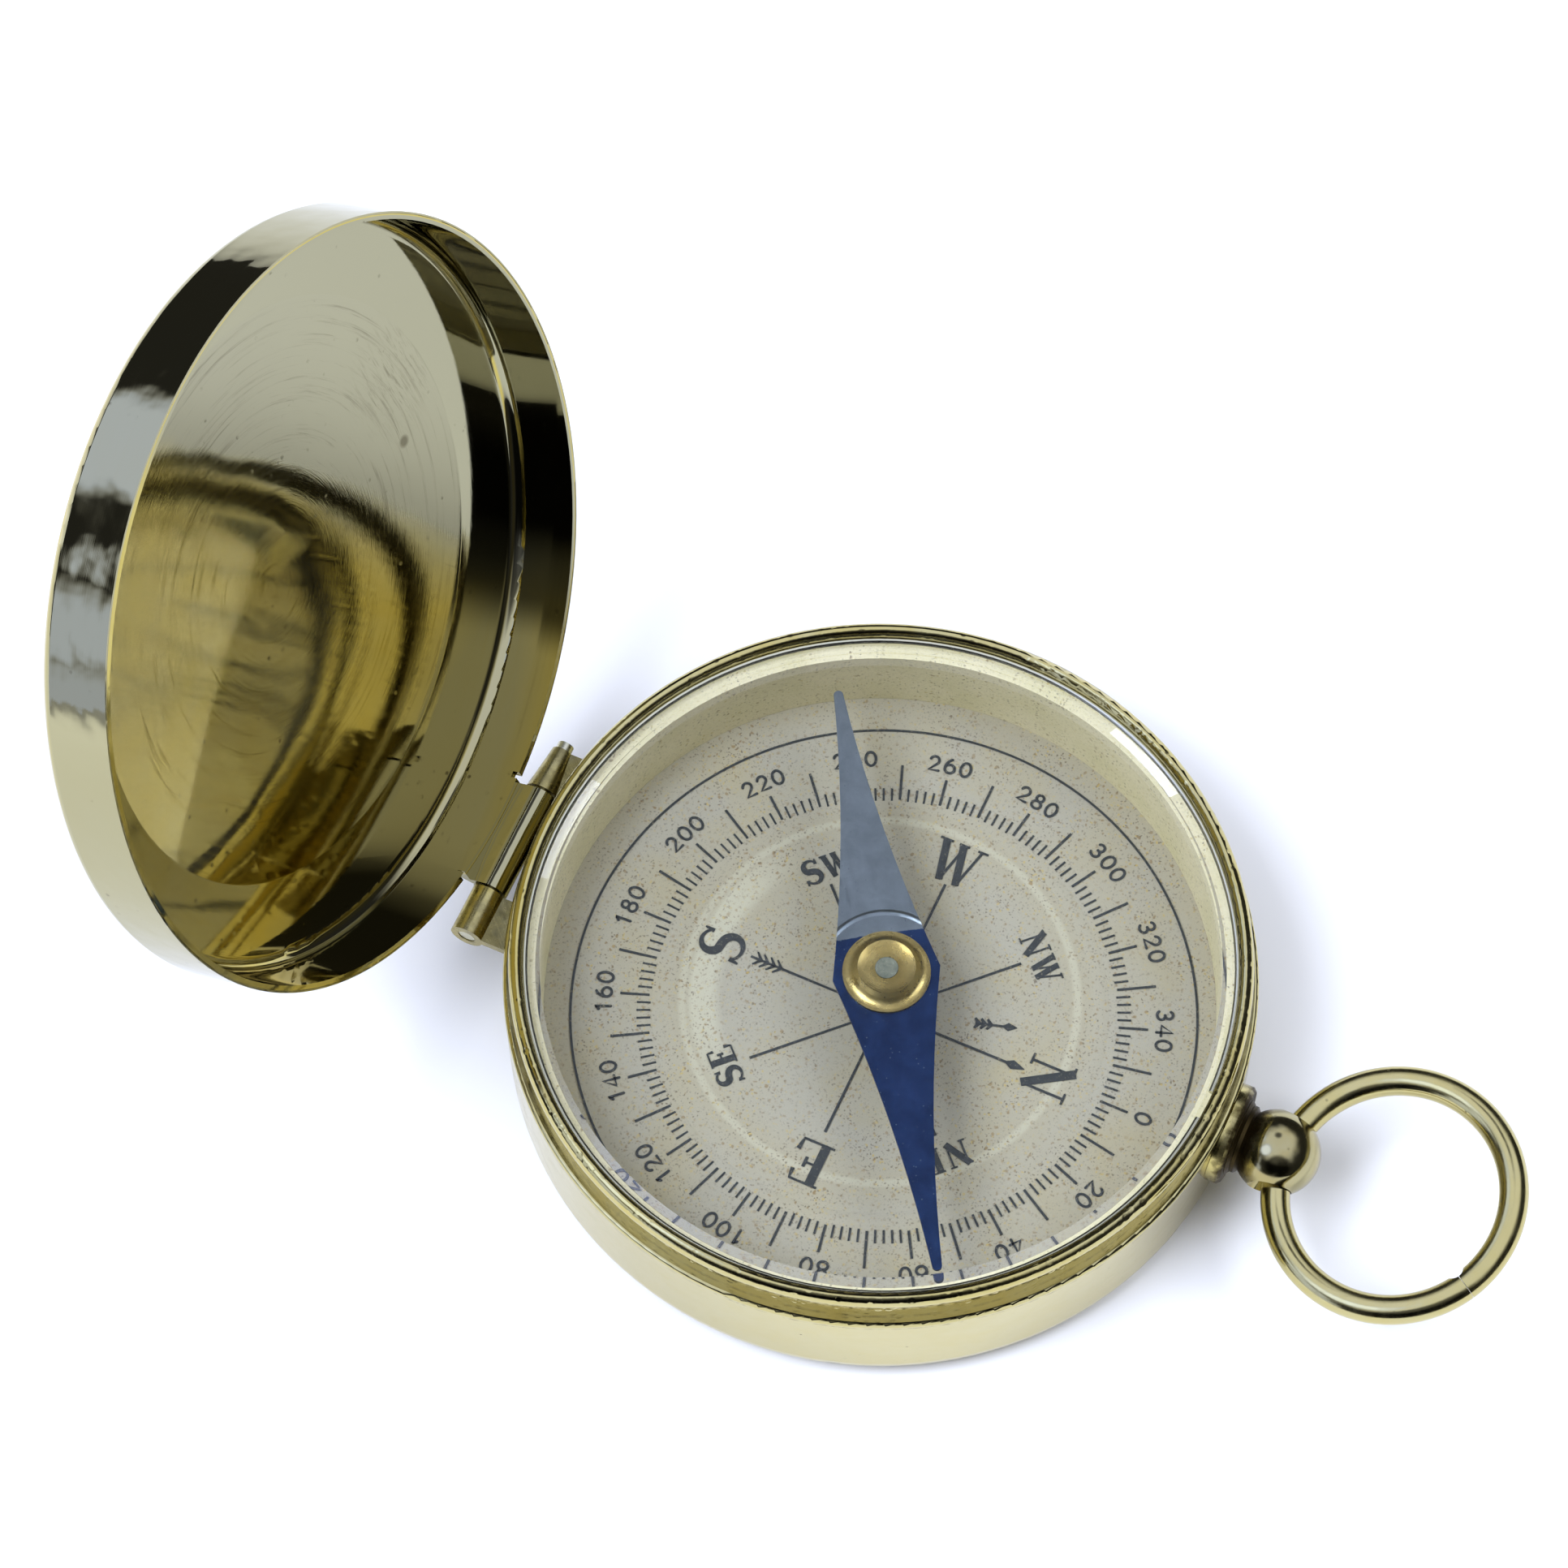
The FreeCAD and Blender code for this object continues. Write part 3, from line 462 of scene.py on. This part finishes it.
def paper(name, origin):
    """Printed card gone cream: fibres, foxing, a warmer tint along the pressed ring, and a painted
    highlight on the ring's crest and on its side towards the hinge.
    """
    graph = Graph(name)
    place = graph.place(origin=origin)
    radius = graph.length(graph.vector("MULTIPLY", place, (1.0, 1.0, 0.0)))
    cloud = graph.noise(place, 0.16, 3.0, 0.55, 0.4)
    warm = graph.span(cloud, 0.42, 0.72, 0.0, 0.8)
    rim = graph.span(radius, 18.5, 21.5, 0.0, 0.7)
    off_ring = graph.gap(radius, PRESSED_RING)
    inner = graph.span(off_ring, 0.4, 2.4, 0.4, 0.0)
    warm = graph.most(graph.most(warm, rim), inner)
    colour = graph.blend(warm, PAPER_LIGHT, PAPER_WARM)
    fibre = graph.noise(place, 7.0, 4.0, 0.7)
    colour = graph.blend(graph.span(fibre, 0.45, 0.75, 0.0, 0.22), colour, rgb(0.30, 0.25, 0.14))
    # Painted highlight: a pale line on the crest of the pressed ring, and a pale crescent inside it
    # on the side towards the hinge.
    painted_ring_highlight = graph.span(off_ring, 0.1, 0.4, 0.38, 0.0, smooth=True)
    toward = graph.math("DIVIDE", graph.dot(place, TO_HINGE), graph.plus(radius, 0.01))
    inner_side = graph.times(graph.span(radius, 9.6, 10.6, smooth=True),
                            graph.span(radius, 11.6, 12.1, 1.0, 0.0))
    painted_side_highlight = graph.times(graph.span(toward, 0.62, 0.95, 0.0, 0.6, smooth=True), inner_side)
    colour = graph.blend(graph.most(painted_ring_highlight, painted_side_highlight), colour, rgb(0.50, 0.465, 0.31))
    colour = foxing(graph, place, colour, 1.3)
    graph.set(Base_Color=colour, Roughness=0.72, Specular_IOR_Level=0.3,
              Normal=graph.bump(graph.plus(fibre, graph.noise(place, 1.4, 2.0)), 0.012 * MM))
    return graph.material


def enamel(name):
    """Cream paint of the inner wall, dusty and lightly foxed."""
    graph = Graph(name)
    place = graph.place()
    cloud = graph.noise(place, 0.2, 3.0, 0.6)
    colour = graph.blend(graph.span(cloud, 0.35, 0.7), rgb(0.70, 0.62, 0.36), rgb(0.62, 0.55, 0.28))
    dust = graph.noise(place, 5.0, 4.0, 0.7)
    colour = graph.blend(graph.span(dust, 0.5, 0.8, 0.0, 0.35), colour, rgb(0.28, 0.22, 0.10))
    colour = foxing(graph, place, colour, 0.5)
    graph.set(Base_Color=colour, Roughness=0.55, Normal=graph.bump(dust, 0.006 * MM))
    return graph.material


def ink(name):
    """Letterpress ink, blue black, broken up where the card's grain shows."""
    graph = Graph(name)
    place = graph.place()
    grain = graph.noise(place, 6.0, 3.0, 0.7)
    cover = graph.span(grain, 0.60, 0.72, 0.0, 0.65)
    colour = graph.blend(cover, rgb(0.014, 0.016, 0.012), rgb(0.26, 0.22, 0.13))
    graph.set(Base_Color=colour, Roughness=0.6, Normal=graph.bump(grain, 0.006 * MM))
    return graph.material


def bevelled_glass(name):
    """Clear glass that lamps reach through, with a faint smear of dust in its gloss."""
    graph = Graph(name)
    place = graph.place()
    smear = graph.span(graph.noise(place, 0.35, 4.0, 0.6, 0.8), 0.4, 0.8, 0.0, 0.03)
    graph.set(Base_Color=rgb(1.0, 1.0, 1.0), Roughness=smear, IOR=1.5, Transmission_Weight=1.0)
    open_pane = graph.node("ShaderNodeBsdfTransparent", {"Color": rgb(0.96, 0.97, 0.96)})
    path = graph.node("ShaderNodeLightPath").outputs
    lamp = graph.most(path["Is Shadow Ray"], path["Is Diffuse Ray"])
    pane = graph.node("ShaderNodeMixShader", {0: lamp})
    graph.tree.links.new(graph.shader.outputs[0], pane.inputs[1])
    graph.tree.links.new(open_pane.outputs[0], pane.inputs[2])
    graph.tree.links.new(pane.outputs[0], graph.output.inputs["Surface"])
    return graph.material


def jewel_stone(name):
    """Grey green cloudy stone with a dull polish."""
    graph = Graph(name)
    place = graph.place()
    cloud = graph.noise(place, 2.2, 4.0, 0.65, 0.5)
    colour = graph.blend(graph.span(cloud, 0.35, 0.7),
                         rgb(0.10, 0.11, 0.075), rgb(0.20, 0.20, 0.13))
    graph.set(Base_Color=colour, Roughness=graph.span(cloud, 0.3, 0.7, 0.12, 0.3), Coat_Weight=0.4,
              Coat_Roughness=0.08)
    return graph.material


# --- the needle's and the lid's own axes ------------------------------------------------

hinge = middle("hinge_pin")
lid_open = math.radians(-min(JOINTS["lid_hinge"]["range_deg"]))
to_closed = Matrix.Rotation(lid_open, 3, Vector((0, 1, 0)))
lid_axes = [to_closed.inverted() @ Vector(axis) for axis in ((1, 0, 0), (0, 1, 0), (0, 0, 1))]
HINGE_REACH = 24.23 * MM  # from the hinge pin to the lid's axis
LID_LIFT = 1.0 * MM  # of the lid's rim above the pin, when closed
lid_origin = Vector((hinge.x, 0.0, hinge.z)) + lid_axes[0] * HINGE_REACH + lid_axes[2] * LID_LIFT

pivot = middle("pivot_pin")
needle_low, needle_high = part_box("needle_blade")
needle_span = needle_high - needle_low
needle_turn = math.pi - math.atan2(needle_span.y, needle_span.x)
needle_axes = [
    Vector((math.cos(needle_turn), math.sin(needle_turn), 0)),
    Vector((-math.sin(needle_turn), math.cos(needle_turn), 0)),
    Vector((0, 0, 1)),
]

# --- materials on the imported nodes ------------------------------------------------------


def dress(material, *nodes):
    """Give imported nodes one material."""
    for name in nodes:
        target = NODES[name]
        target.data.materials.clear()
        target.data.materials.append(material)


SEAM_DROP = 0.45  # a faint line on the cup lies this far under its rim
PENDANT_AXES = ((0, 1, 0), (0, 0, 1), (1, 0, 0))
KNUCKLE_AXES = ((1, 0, 0), (0, 0, -1), (0, 1, 0))
BALL_X = 26.3 * MM
ball_centre = (BALL_X, 0.0, middle("pendant_stem").z)
cup_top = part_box("case_cup")[1].z / MM

dress(brass("case_brass", gloss=0.10, warmth=0.25, dirt=seam_dirt(cup_top - SEAM_DROP, 0.5)),
      "case_cup")
dress(brass("bezel_brass", gloss=0.06, warmth=0.5, dirt=seam_dirt(cup_top + 0.1, 0.6), nicks=9.0),
      "case_bezel")
dress(brass("fitting_brass", gloss=0.13, warmth=0.5), "pendant_washer", "dial_plate", "pivot_base")
dress(brass("knuckle_brass", KNUCKLE_AXES, hinge, 0.10, warmth=0.9, dirt=film_dirt(0.55)),
      "hinge_knuckle_upper", "hinge_knuckle_lower")
# The ball and the collar darken towards the neck between them: painted shade where the neck lies in
# shadow.
dress(brass("ball_brass", PENDANT_AXES, ball_centre, 0.07, warmth=0.7, dirt=neck_dirt(-0.9, -1.6),
            tones=(rgb(0.38, 0.34, 0.18), rgb(0.34, 0.26, 0.08))), "pendant_stem")
dress(brass("collar_brass", PENDANT_AXES, ball_centre, 0.12, warmth=0.6,
            dirt=neck_dirt(-3.2, -2.6)), "pendant_collar")
dress(brass("bow_brass", origin=middle("bow_ring"), gloss=0.12, warmth=0.25), "bow_ring")
dress(brass("cap_brass", origin=pivot, gloss=0.16, warmth=1.0, grain=0.003, dirt=film_dirt(0.45),
            tones=(rgb(0.40, 0.31, 0.105), rgb(0.32, 0.22, 0.05))), "needle_cap")
dress(lid_brass(lid_axes, lid_origin), "lid_shell")
dress(steel("pin_steel", hinge), "hinge_pin", "pivot_pin")
dress(steel("snap_steel", (0, 0, 0), gloss=0.2), "glass_snap_ring")
dress(needle_finish(needle_axes, pivot, blue_edge=2.6, root_ring=4.05), "needle_blade")
dress(jewel_stone("agate"), "cap_jewel")
dress(enamel("wall_enamel"), "spacer_ring")
dress(paper("card_paper", middle("dial_card")), "dial_card")
dress(bevelled_glass("clear_glass"), "glass")

# --- printing on the card ---------------------------------------------------------------

card_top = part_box("dial_card")[1].z
PRINT_SHIFT = Vector((0.56, -0.69, 0)) * MM  # the card was printed off its middle
print_centre = middle("dial_card") + PRINT_SHIFT
PRINT_TURN = math.radians(-0.23)
INK_LIFT = 0.010 * MM
INK_STEP = 0.0015 * MM


class Print:
    """Flat raised ink marks gathered into one mesh."""

    def __init__(self):
        self.mesh = bmesh.new()
        self.count = 0

    def strip(self, points, widths, closed=False):
        """Band along points of the card, in millimetres, with a width at each point."""
        points = [Vector(point) for point in points]
        total = len(points)
        lift = card_top + INK_LIFT + INK_STEP * (self.count % 6)
        self.count += 1
        rows = []
        for index, point in enumerate(points):
            before = points[(index - 1) % total] if closed or index > 0 else point
            after = points[(index + 1) % total] if closed or index < total - 1 else point
            along = (after - before).normalized()
            side = Vector((-along.y, along.x)) * widths[index] / 2
            rows.append([self.corner(point + side, lift), self.corner(point - side, lift),
                         self.corner(point - side, card_top - INK_LIFT),
                         self.corner(point + side, card_top - INK_LIFT)])
        pairs = list(zip(rows, rows[1:]))
        if closed:
            pairs.append((rows[-1], rows[0]))
        for first, second in pairs:
            for edge in range(4):
                onward = (edge + 1) % 4
                self.mesh.faces.new((first[edge], first[onward], second[onward], second[edge]))
        if not closed:
            self.mesh.faces.new(rows[0][::-1])
            self.mesh.faces.new(rows[-1])

    def corner(self, point, height):
        x, y = (print_centre[axis] + point[axis] * MM for axis in (0, 1))
        return self.mesh.verts.new((x, y, height))

    def line(self, first, second, width, end_width=None):
        first, second = Vector(first), Vector(second)
        self.strip([first, second], [width, width if end_width is None else end_width])

    def rounded(self, points, width, closed=False):
        """Band of even width with round ends."""
        points = [Vector(point) for point in points]
        if closed:
            self.strip(points, [width] * len(points), closed=True)
            return
        start = (points[0] - points[1]).normalized() * width / 2
        stop = (points[-1] - points[-2]).normalized() * width / 2
        before = [points[0] + start, points[0] + start * 0.6]
        after = [points[-1] + stop * 0.6, points[-1] + stop]
        widths = [width * 0.15, width * 0.8] + [width] * len(points) + [width * 0.8, width * 0.15]
        self.strip(before + points + after, widths)

    def finish(self, name, material, body="case"):
        bmesh.ops.recalc_face_normals(self.mesh, faces=self.mesh.faces[:])
        data = bpy.data.meshes.new(name)
        self.mesh.to_mesh(data)
        self.mesh.free()
        made = bpy.data.objects.new(name, data)
        bpy.context.scene.collection.objects.link(made)
        made.data.materials.append(material)
        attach(made, body)


def outward(card_degrees):
    """Unit vector from the centre of the card; its degrees run clockwise from north."""
    angle = PRINT_TURN - math.radians(card_degrees)
    return Vector((math.cos(angle), math.sin(angle)))


class Letter:
    """Local axes of a character that stands with its top outwards."""

    def __init__(self, card_degrees, radius, shift, width, height):
        self.up = outward(card_degrees)
        self.right = Vector((self.up.y, -self.up.x))
        self.width, self.height = width, height
        self.base = self.up * (radius - height / 2) + self.right * (shift - width / 2)

    def at(self, x, y):
        return self.base + self.right * (x * self.width) + self.up * (y * self.height)


def arc(cx, cy, rx, ry, start, stop, count=14):
    step = (stop - start) / count
    turns = [math.radians(start + step * index) for index in range(count + 1)]
    return [(cx + rx * math.cos(turn), cy + ry * math.sin(turn)) for turn in turns]


DIGITS = {
    "0": [(arc(0.5, 0.5, 0.44, 0.47, 0, 345, 22), True)],
    "1": [([(0.30, 0.74), (0.56, 0.98), (0.56, 0.02)], False)],
    "2": [(arc(0.47, 0.70, 0.38, 0.28, 165, -38, 12) + [(0.08, 0.03), (0.92, 0.03)], False)],
    "3": [(arc(0.45, 0.74, 0.34, 0.24, 150, -90, 12), False),
          (arc(0.45, 0.27, 0.40, 0.25, 90, -150, 12), False)],
    "4": [([(0.68, 0.0), (0.68, 1.0), (0.04, 0.28), (0.98, 0.28)], False)],
    "6": [(arc(0.5, 0.31, 0.42, 0.29, 0, 345, 18), True),
          (arc(0.86, 0.34, 0.78, 0.66, 178, 112, 8), False)],
    "8": [(arc(0.5, 0.75, 0.32, 0.23, 0, 345, 18), True),
          (arc(0.5, 0.27, 0.41, 0.26, 0, 345, 18), True)],
}
DIGIT_WIDTH, DIGIT_HEIGHT, DIGIT_PITCH, DIGIT_LINE = 0.74, 1.02, 1.0, 0.17


def numerals(radius):
    """Degrees every 20, with each digit turned on its own to follow the ring."""
    sheet = Print()
    for degrees in range(0, 360, 20):
        text = str(degrees)
        for index, digit in enumerate(text):
            along = (index - (len(text) - 1) / 2) * DIGIT_PITCH
            turned = degrees + math.degrees(along / radius)
            letter = Letter(turned, radius, 0.0, DIGIT_WIDTH, DIGIT_HEIGHT)
            for path, closed in DIGITS[digit]:
                sheet.rounded([letter.at(x, y) for x, y in path], DIGIT_LINE, closed)
    return sheet


def scale_ring():
    """A tick every 2 degrees, longer at the tens."""
    sheet = Print()
    inner, minor, odd, even, width = 14.39, 15.25, 16.90, 16.31, 0.13
    for degrees in range(0, 360, 2):
        outer = minor
        if degrees % 20 == 0:
            outer = even
        elif degrees % 10 == 0:
            outer = odd
        way = outward(degrees)
        long_tick = outer > minor
        sheet.line(way * (inner + 0.1 * long_tick), way * outer, width + 0.03 * long_tick)
    return sheet


def printed_circle(radius, width):
    sheet = Print()
    sheet.strip([outward(degrees) * radius for degrees in range(360)], [width] * 360, closed=True)
    return sheet


def cardinals():
    """The eight letters, drawn as pen strokes: (x, y) points with a width at each."""
    sheet = Print()
    for text, degrees, radius, height, weight, pitch in (
            ("N", 0, 11.0, 2.9, 1.0, 0), ("S", 180, 11.0, 2.8, 1.0, 0),
            ("E", 90, 11.0, 2.9, 1.0, 0), ("W", 270, 11.0, 2.9, 1.0, 0),
            ("NE", 45, 10.4, 1.65, 0.72, 1.62),
            ("SE", 135, 10.4, 1.65, 0.72, 1.36), ("SW", 225, 10.4, 1.65, 0.72, 1.62),
            ("NW", 315, 10.4, 1.65, 0.72, 1.78)):
        for index, character in enumerate(text):
            shift = (index - (len(text) - 1) / 2) * pitch
            wide = LETTER_WIDTH[character] * height
            letter = Letter(degrees, radius, shift, wide, height)
            for path in LETTERS[character]:
                sheet.strip([letter.at(x, y) for x, y, _ in path], [w * weight for _, _, w in path])
    return sheet


def swelling(path, thin, thick, power):
    """Widths that grow from thin at both ends to thick in the middle."""
    last = len(path) - 1
    return [(x, y, thin + (thick - thin) * math.sin(math.pi * index / last) ** power)
            for index, (x, y) in enumerate(path)]


def serif(x, y, half):
    return [(x - half, y, SERIF), (x + half, y, SERIF)]


HAIR, STEM, SERIF = 0.17, 0.58, 0.15
S_SPINE = arc(0.50, 0.73, 0.38, 0.24, 20, 250, 16)[:-1] + arc(0.50, 0.26, 0.42, 0.25, 80, -160, 16)
LETTER_WIDTH = {"N": 0.86, "E": 0.76, "S": 0.66, "W": 1.08}
LETTERS = {
    "N": [
        [(0.16, 0.03, HAIR), (0.16, 0.97, HAIR)],
        [(0.84, 0.03, HAIR), (0.84, 0.97, HAIR)],
        [(0.10, 1.0, STEM), (0.84, 0.0, STEM * 0.95)],
        serif(0.13, 0.03, 0.15), serif(0.84, 0.97, 0.15), serif(0.05, 0.97, 0.10),
    ],
    "E": [
        [(0.27, 0.02, STEM), (0.27, 0.98, STEM)],
        serif(0.48, 0.03, 0.46), serif(0.46, 0.97, 0.42), serif(0.44, 0.52, 0.20),
        [(0.93, 0.02, 0.12), (0.97, 0.30, 0.30)], [(0.86, 0.98, 0.12), (0.88, 0.74, 0.26)],
        [(0.64, 0.40, 0.20), (0.64, 0.64, 0.20)],
    ],
    "S": [
        swelling(S_SPINE, HAIR, STEM, 2.2),
        [(0.85, 0.78, 0.30), (0.89, 1.0, 0.12)], [(0.11, 0.20, 0.32), (0.05, -0.02, 0.12)],
    ],
    "W": [
        [(0.14, 0.98, STEM * 0.85), (0.33, 0.02, STEM * 0.8)],
        [(0.33, 0.02, HAIR), (0.53, 0.92, HAIR)],
        [(0.50, 0.98, STEM * 0.85), (0.68, 0.02, STEM * 0.8)],
        [(0.68, 0.02, HAIR), (0.90, 0.96, HAIR)],
        serif(0.14, 0.97, 0.14), serif(0.52, 0.97, 0.11), serif(0.92, 0.97, 0.11),
    ],
}


DECLINATION = 343.5  # card degrees of magnetic north


def rose():
    """Rays of the compass rose, the north arrow, the south flight and the declination arrow."""
    sheet = Print()
    start = 1.2
    for degrees, reach in ((0, 8.4), (45, 8.82), (90, 8.79), (135, 8.81), (180, 7.2), (225, 9.21),
                           (270, 9.44), (315, 9.11)):
        sheet.line(outward(degrees) * start, outward(degrees) * reach, 0.13, 0.17)
    north = Letter(0, 0, 0, 1, 1)
    arrow_head(sheet, north, 8.2, 9.43, 0.62)
    south = Letter(180, 0, 0, 1, 1)
    for step in range(4):
        level = 6.95 + 0.45 * step
        for side in (-1, 1):
            feather = [local(south, 0, level), local(south, side * 0.45, level + 0.42)]
            sheet.strip(feather, [0.20, 0.10])
    sheet.line(local(south, 0, 6.9), local(south, 0, 9.0), 0.15)
    declination = Letter(DECLINATION, 0, 0, 1, 1)
    sheet.line(local(declination, 0, 5.7), local(declination, 0, 7.7), 0.15)
    arrow_head(sheet, declination, 7.45, 8.28, 0.55)
    for step in range(3):
        level = 5.66 + 0.38 * step
        for side in (-1, 1):
            barb = [local(declination, 0, level + 0.25), local(declination, side * 0.34, level)]
            sheet.strip(barb, [0.26, 0.14])
    return sheet


def local(letter, x, y):
    return letter.right * x + letter.up * y


def arrow_head(sheet, letter, foot, tip, width):
    waist = foot + (tip - foot) * 0.35
    spine = [local(letter, 0, level) for level in (foot, waist, tip)]
    sheet.strip(spine, [0.14, width, 0.05])


card_ink = ink("card_ink")
printed_circle(radius=19.32, width=0.15).finish("dial_circle", card_ink)
scale_ring().finish("dial_scale", card_ink)
numerals(radius=17.33).finish("dial_numerals", card_ink)
cardinals().finish("dial_letters", card_ink)
rose().finish("dial_rose", card_ink)

# --- floor, light and camera ------------------------------------------------------------


def studio_floor():
    graph = Graph("floor_white")
    place = graph.place()
    tone = graph.span(graph.noise(place, 0.01, 2.0), 0.3, 0.7, 0.0, 1.0)
    colour = graph.blend(tone, rgb(0.88, 0.85, 0.75), rgb(0.90, 0.87, 0.77))
    graph.set(Base_Color=colour, Roughness=0.9)
    bpy.ops.mesh.primitive_plane_add(size=6.0, location=(0, 0, -0.02 * MM))
    floor = bpy.context.object
    floor.name = "floor"
    floor.data.materials.append(graph.material)


DAYLIGHT = (0.70, 0.77, 1.0)
LAMP_SIZE = 0.5


def softbox(name, location, target, power):
    """Square lamp that lights the scene but isn't mirrored in the brass."""
    lamp = bpy.data.lights.new(name, "AREA")
    lamp.shape = "RECTANGLE"
    lamp.size = lamp.size_y = LAMP_SIZE
    lamp.energy = power
    lamp.color = DAYLIGHT
    made = bpy.data.objects.new(name, lamp)
    bpy.context.scene.collection.objects.link(made)
    made.visible_glossy = False
    made.location = location
    made.rotation_euler = (Vector(target) - Vector(location)).to_track_quat("-Z", "Y").to_euler()


class Room(Graph):
    """The world's nodes: what the polished brass mirrors."""

    def __init__(self):
        self.world = bpy.data.worlds.new("room")
        bpy.context.scene.world = self.world
        self.world.use_nodes = True
        self.tree = self.world.node_tree

    def lobe(self, here, way, near, far):
        """1 within near degrees of a direction, falling to 0 at far degrees."""
        cosine = self.dot(here, tuple(Vector(way).normalized()))
        edge, full = (math.cos(math.radians(angle)) for angle in (far, near))
        return self.span(cosine, edge, full, smooth=True)


WINDOWS = (
    ((-0.44, -0.40, 0.81), 8, 18, 1.9),
    ((-0.77, 0.06, 0.60), 11, 17, 1.2),
    ((-0.72, -0.45, 0.52), 5, 10, 1.2),
    ((-0.65, -0.68, 0.33), 9, 15, 1.05),
    ((-0.54, -0.84, 0.06), 10, 16, 0.9),
)  # direction, half angles of the full and the fading light, level
GLASS_MIRROR = (-0.18, 0.39, 0.90)  # the way the glass and the needle mirror, kept dim
FIGURE = (0.30, -0.80, 0.50)


def sky():
    """Light ceiling, dark walls, windows to the left and the dark shape of whoever leans in."""
    room = Room()
    here = room.node("ShaderNodeTexCoord").outputs["Generated"]
    height = room.split(here)[2]
    fields = room.noise(here, 2.2, 2.0, 0.45)
    lifted = room.plus(height, room.times(fields, 0.35))
    light = room.span(lifted, 0.68, 1.02, 0.035, 1.15, smooth=True)
    panes = 0.0
    for way, near, far, level in WINDOWS:
        panes = room.most(panes, room.times(room.lobe(here, way, near, far), level))
    light = room.most(light, panes)
    beam = room.lobe(here, GLASS_MIRROR, 5, 11)
    light = room.times(light, room.span(beam, 0.0, 1.0, 1.0, 0.1))
    figure = room.lobe(here, FIGURE, 24, 36)
    light = room.times(light, room.span(figure, 0.0, 1.0, 1.0, 0.14))
    tint = room.blend(room.span(height, 0.2, 0.9), rgb(1.0, 1.04, 1.15), rgb(1.0, 1.08, 1.4))
    tint = room.blend(room.math("MINIMUM", panes, 1.0), tint, rgb(0.88, 1.04, 1.75))
    background = room.tree.nodes["Background"]
    room.feed(background.inputs["Color"], tint)
    room.feed(background.inputs["Strength"], light)


def camera():
    """The view that the rest pose is drawn from."""
    aim = Vector((-10.09, 8.09, 10.9)) * MM
    azimuth, elevation, roll = math.radians(25.03), math.radians(64.22), math.radians(-0.84)
    distance = 323.2 * MM
    back = Vector((math.sin(azimuth) * math.cos(elevation),
                   -math.cos(azimuth) * math.cos(elevation), math.sin(elevation)))
    data = bpy.data.cameras.new("camera")
    data.sensor_width = 36.0
    data.lens = 120.57
    data.clip_start, data.clip_end = 0.01, 20.0
    made = bpy.data.objects.new("camera", data)
    bpy.context.scene.collection.objects.link(made)
    made.location = aim + back * distance
    made.rotation_mode = "QUATERNION"
    rolled = Matrix.Rotation(roll, 3, Vector((0, 0, 1)))
    turn = (-back).to_track_quat("-Z", "Y").to_matrix() @ rolled
    made.rotation_quaternion = turn.to_quaternion()
    bpy.context.scene.camera = made


studio_floor()
softbox("key", (-0.36, -0.36, 0.74), (0, 0, 0), 10.5)
softbox("fill", (0.62, 0.30, 0.80), (0, 0, 0.01), 6.0)
sky()
camera()
bpy.context.scene.view_settings.view_transform = "Standard"
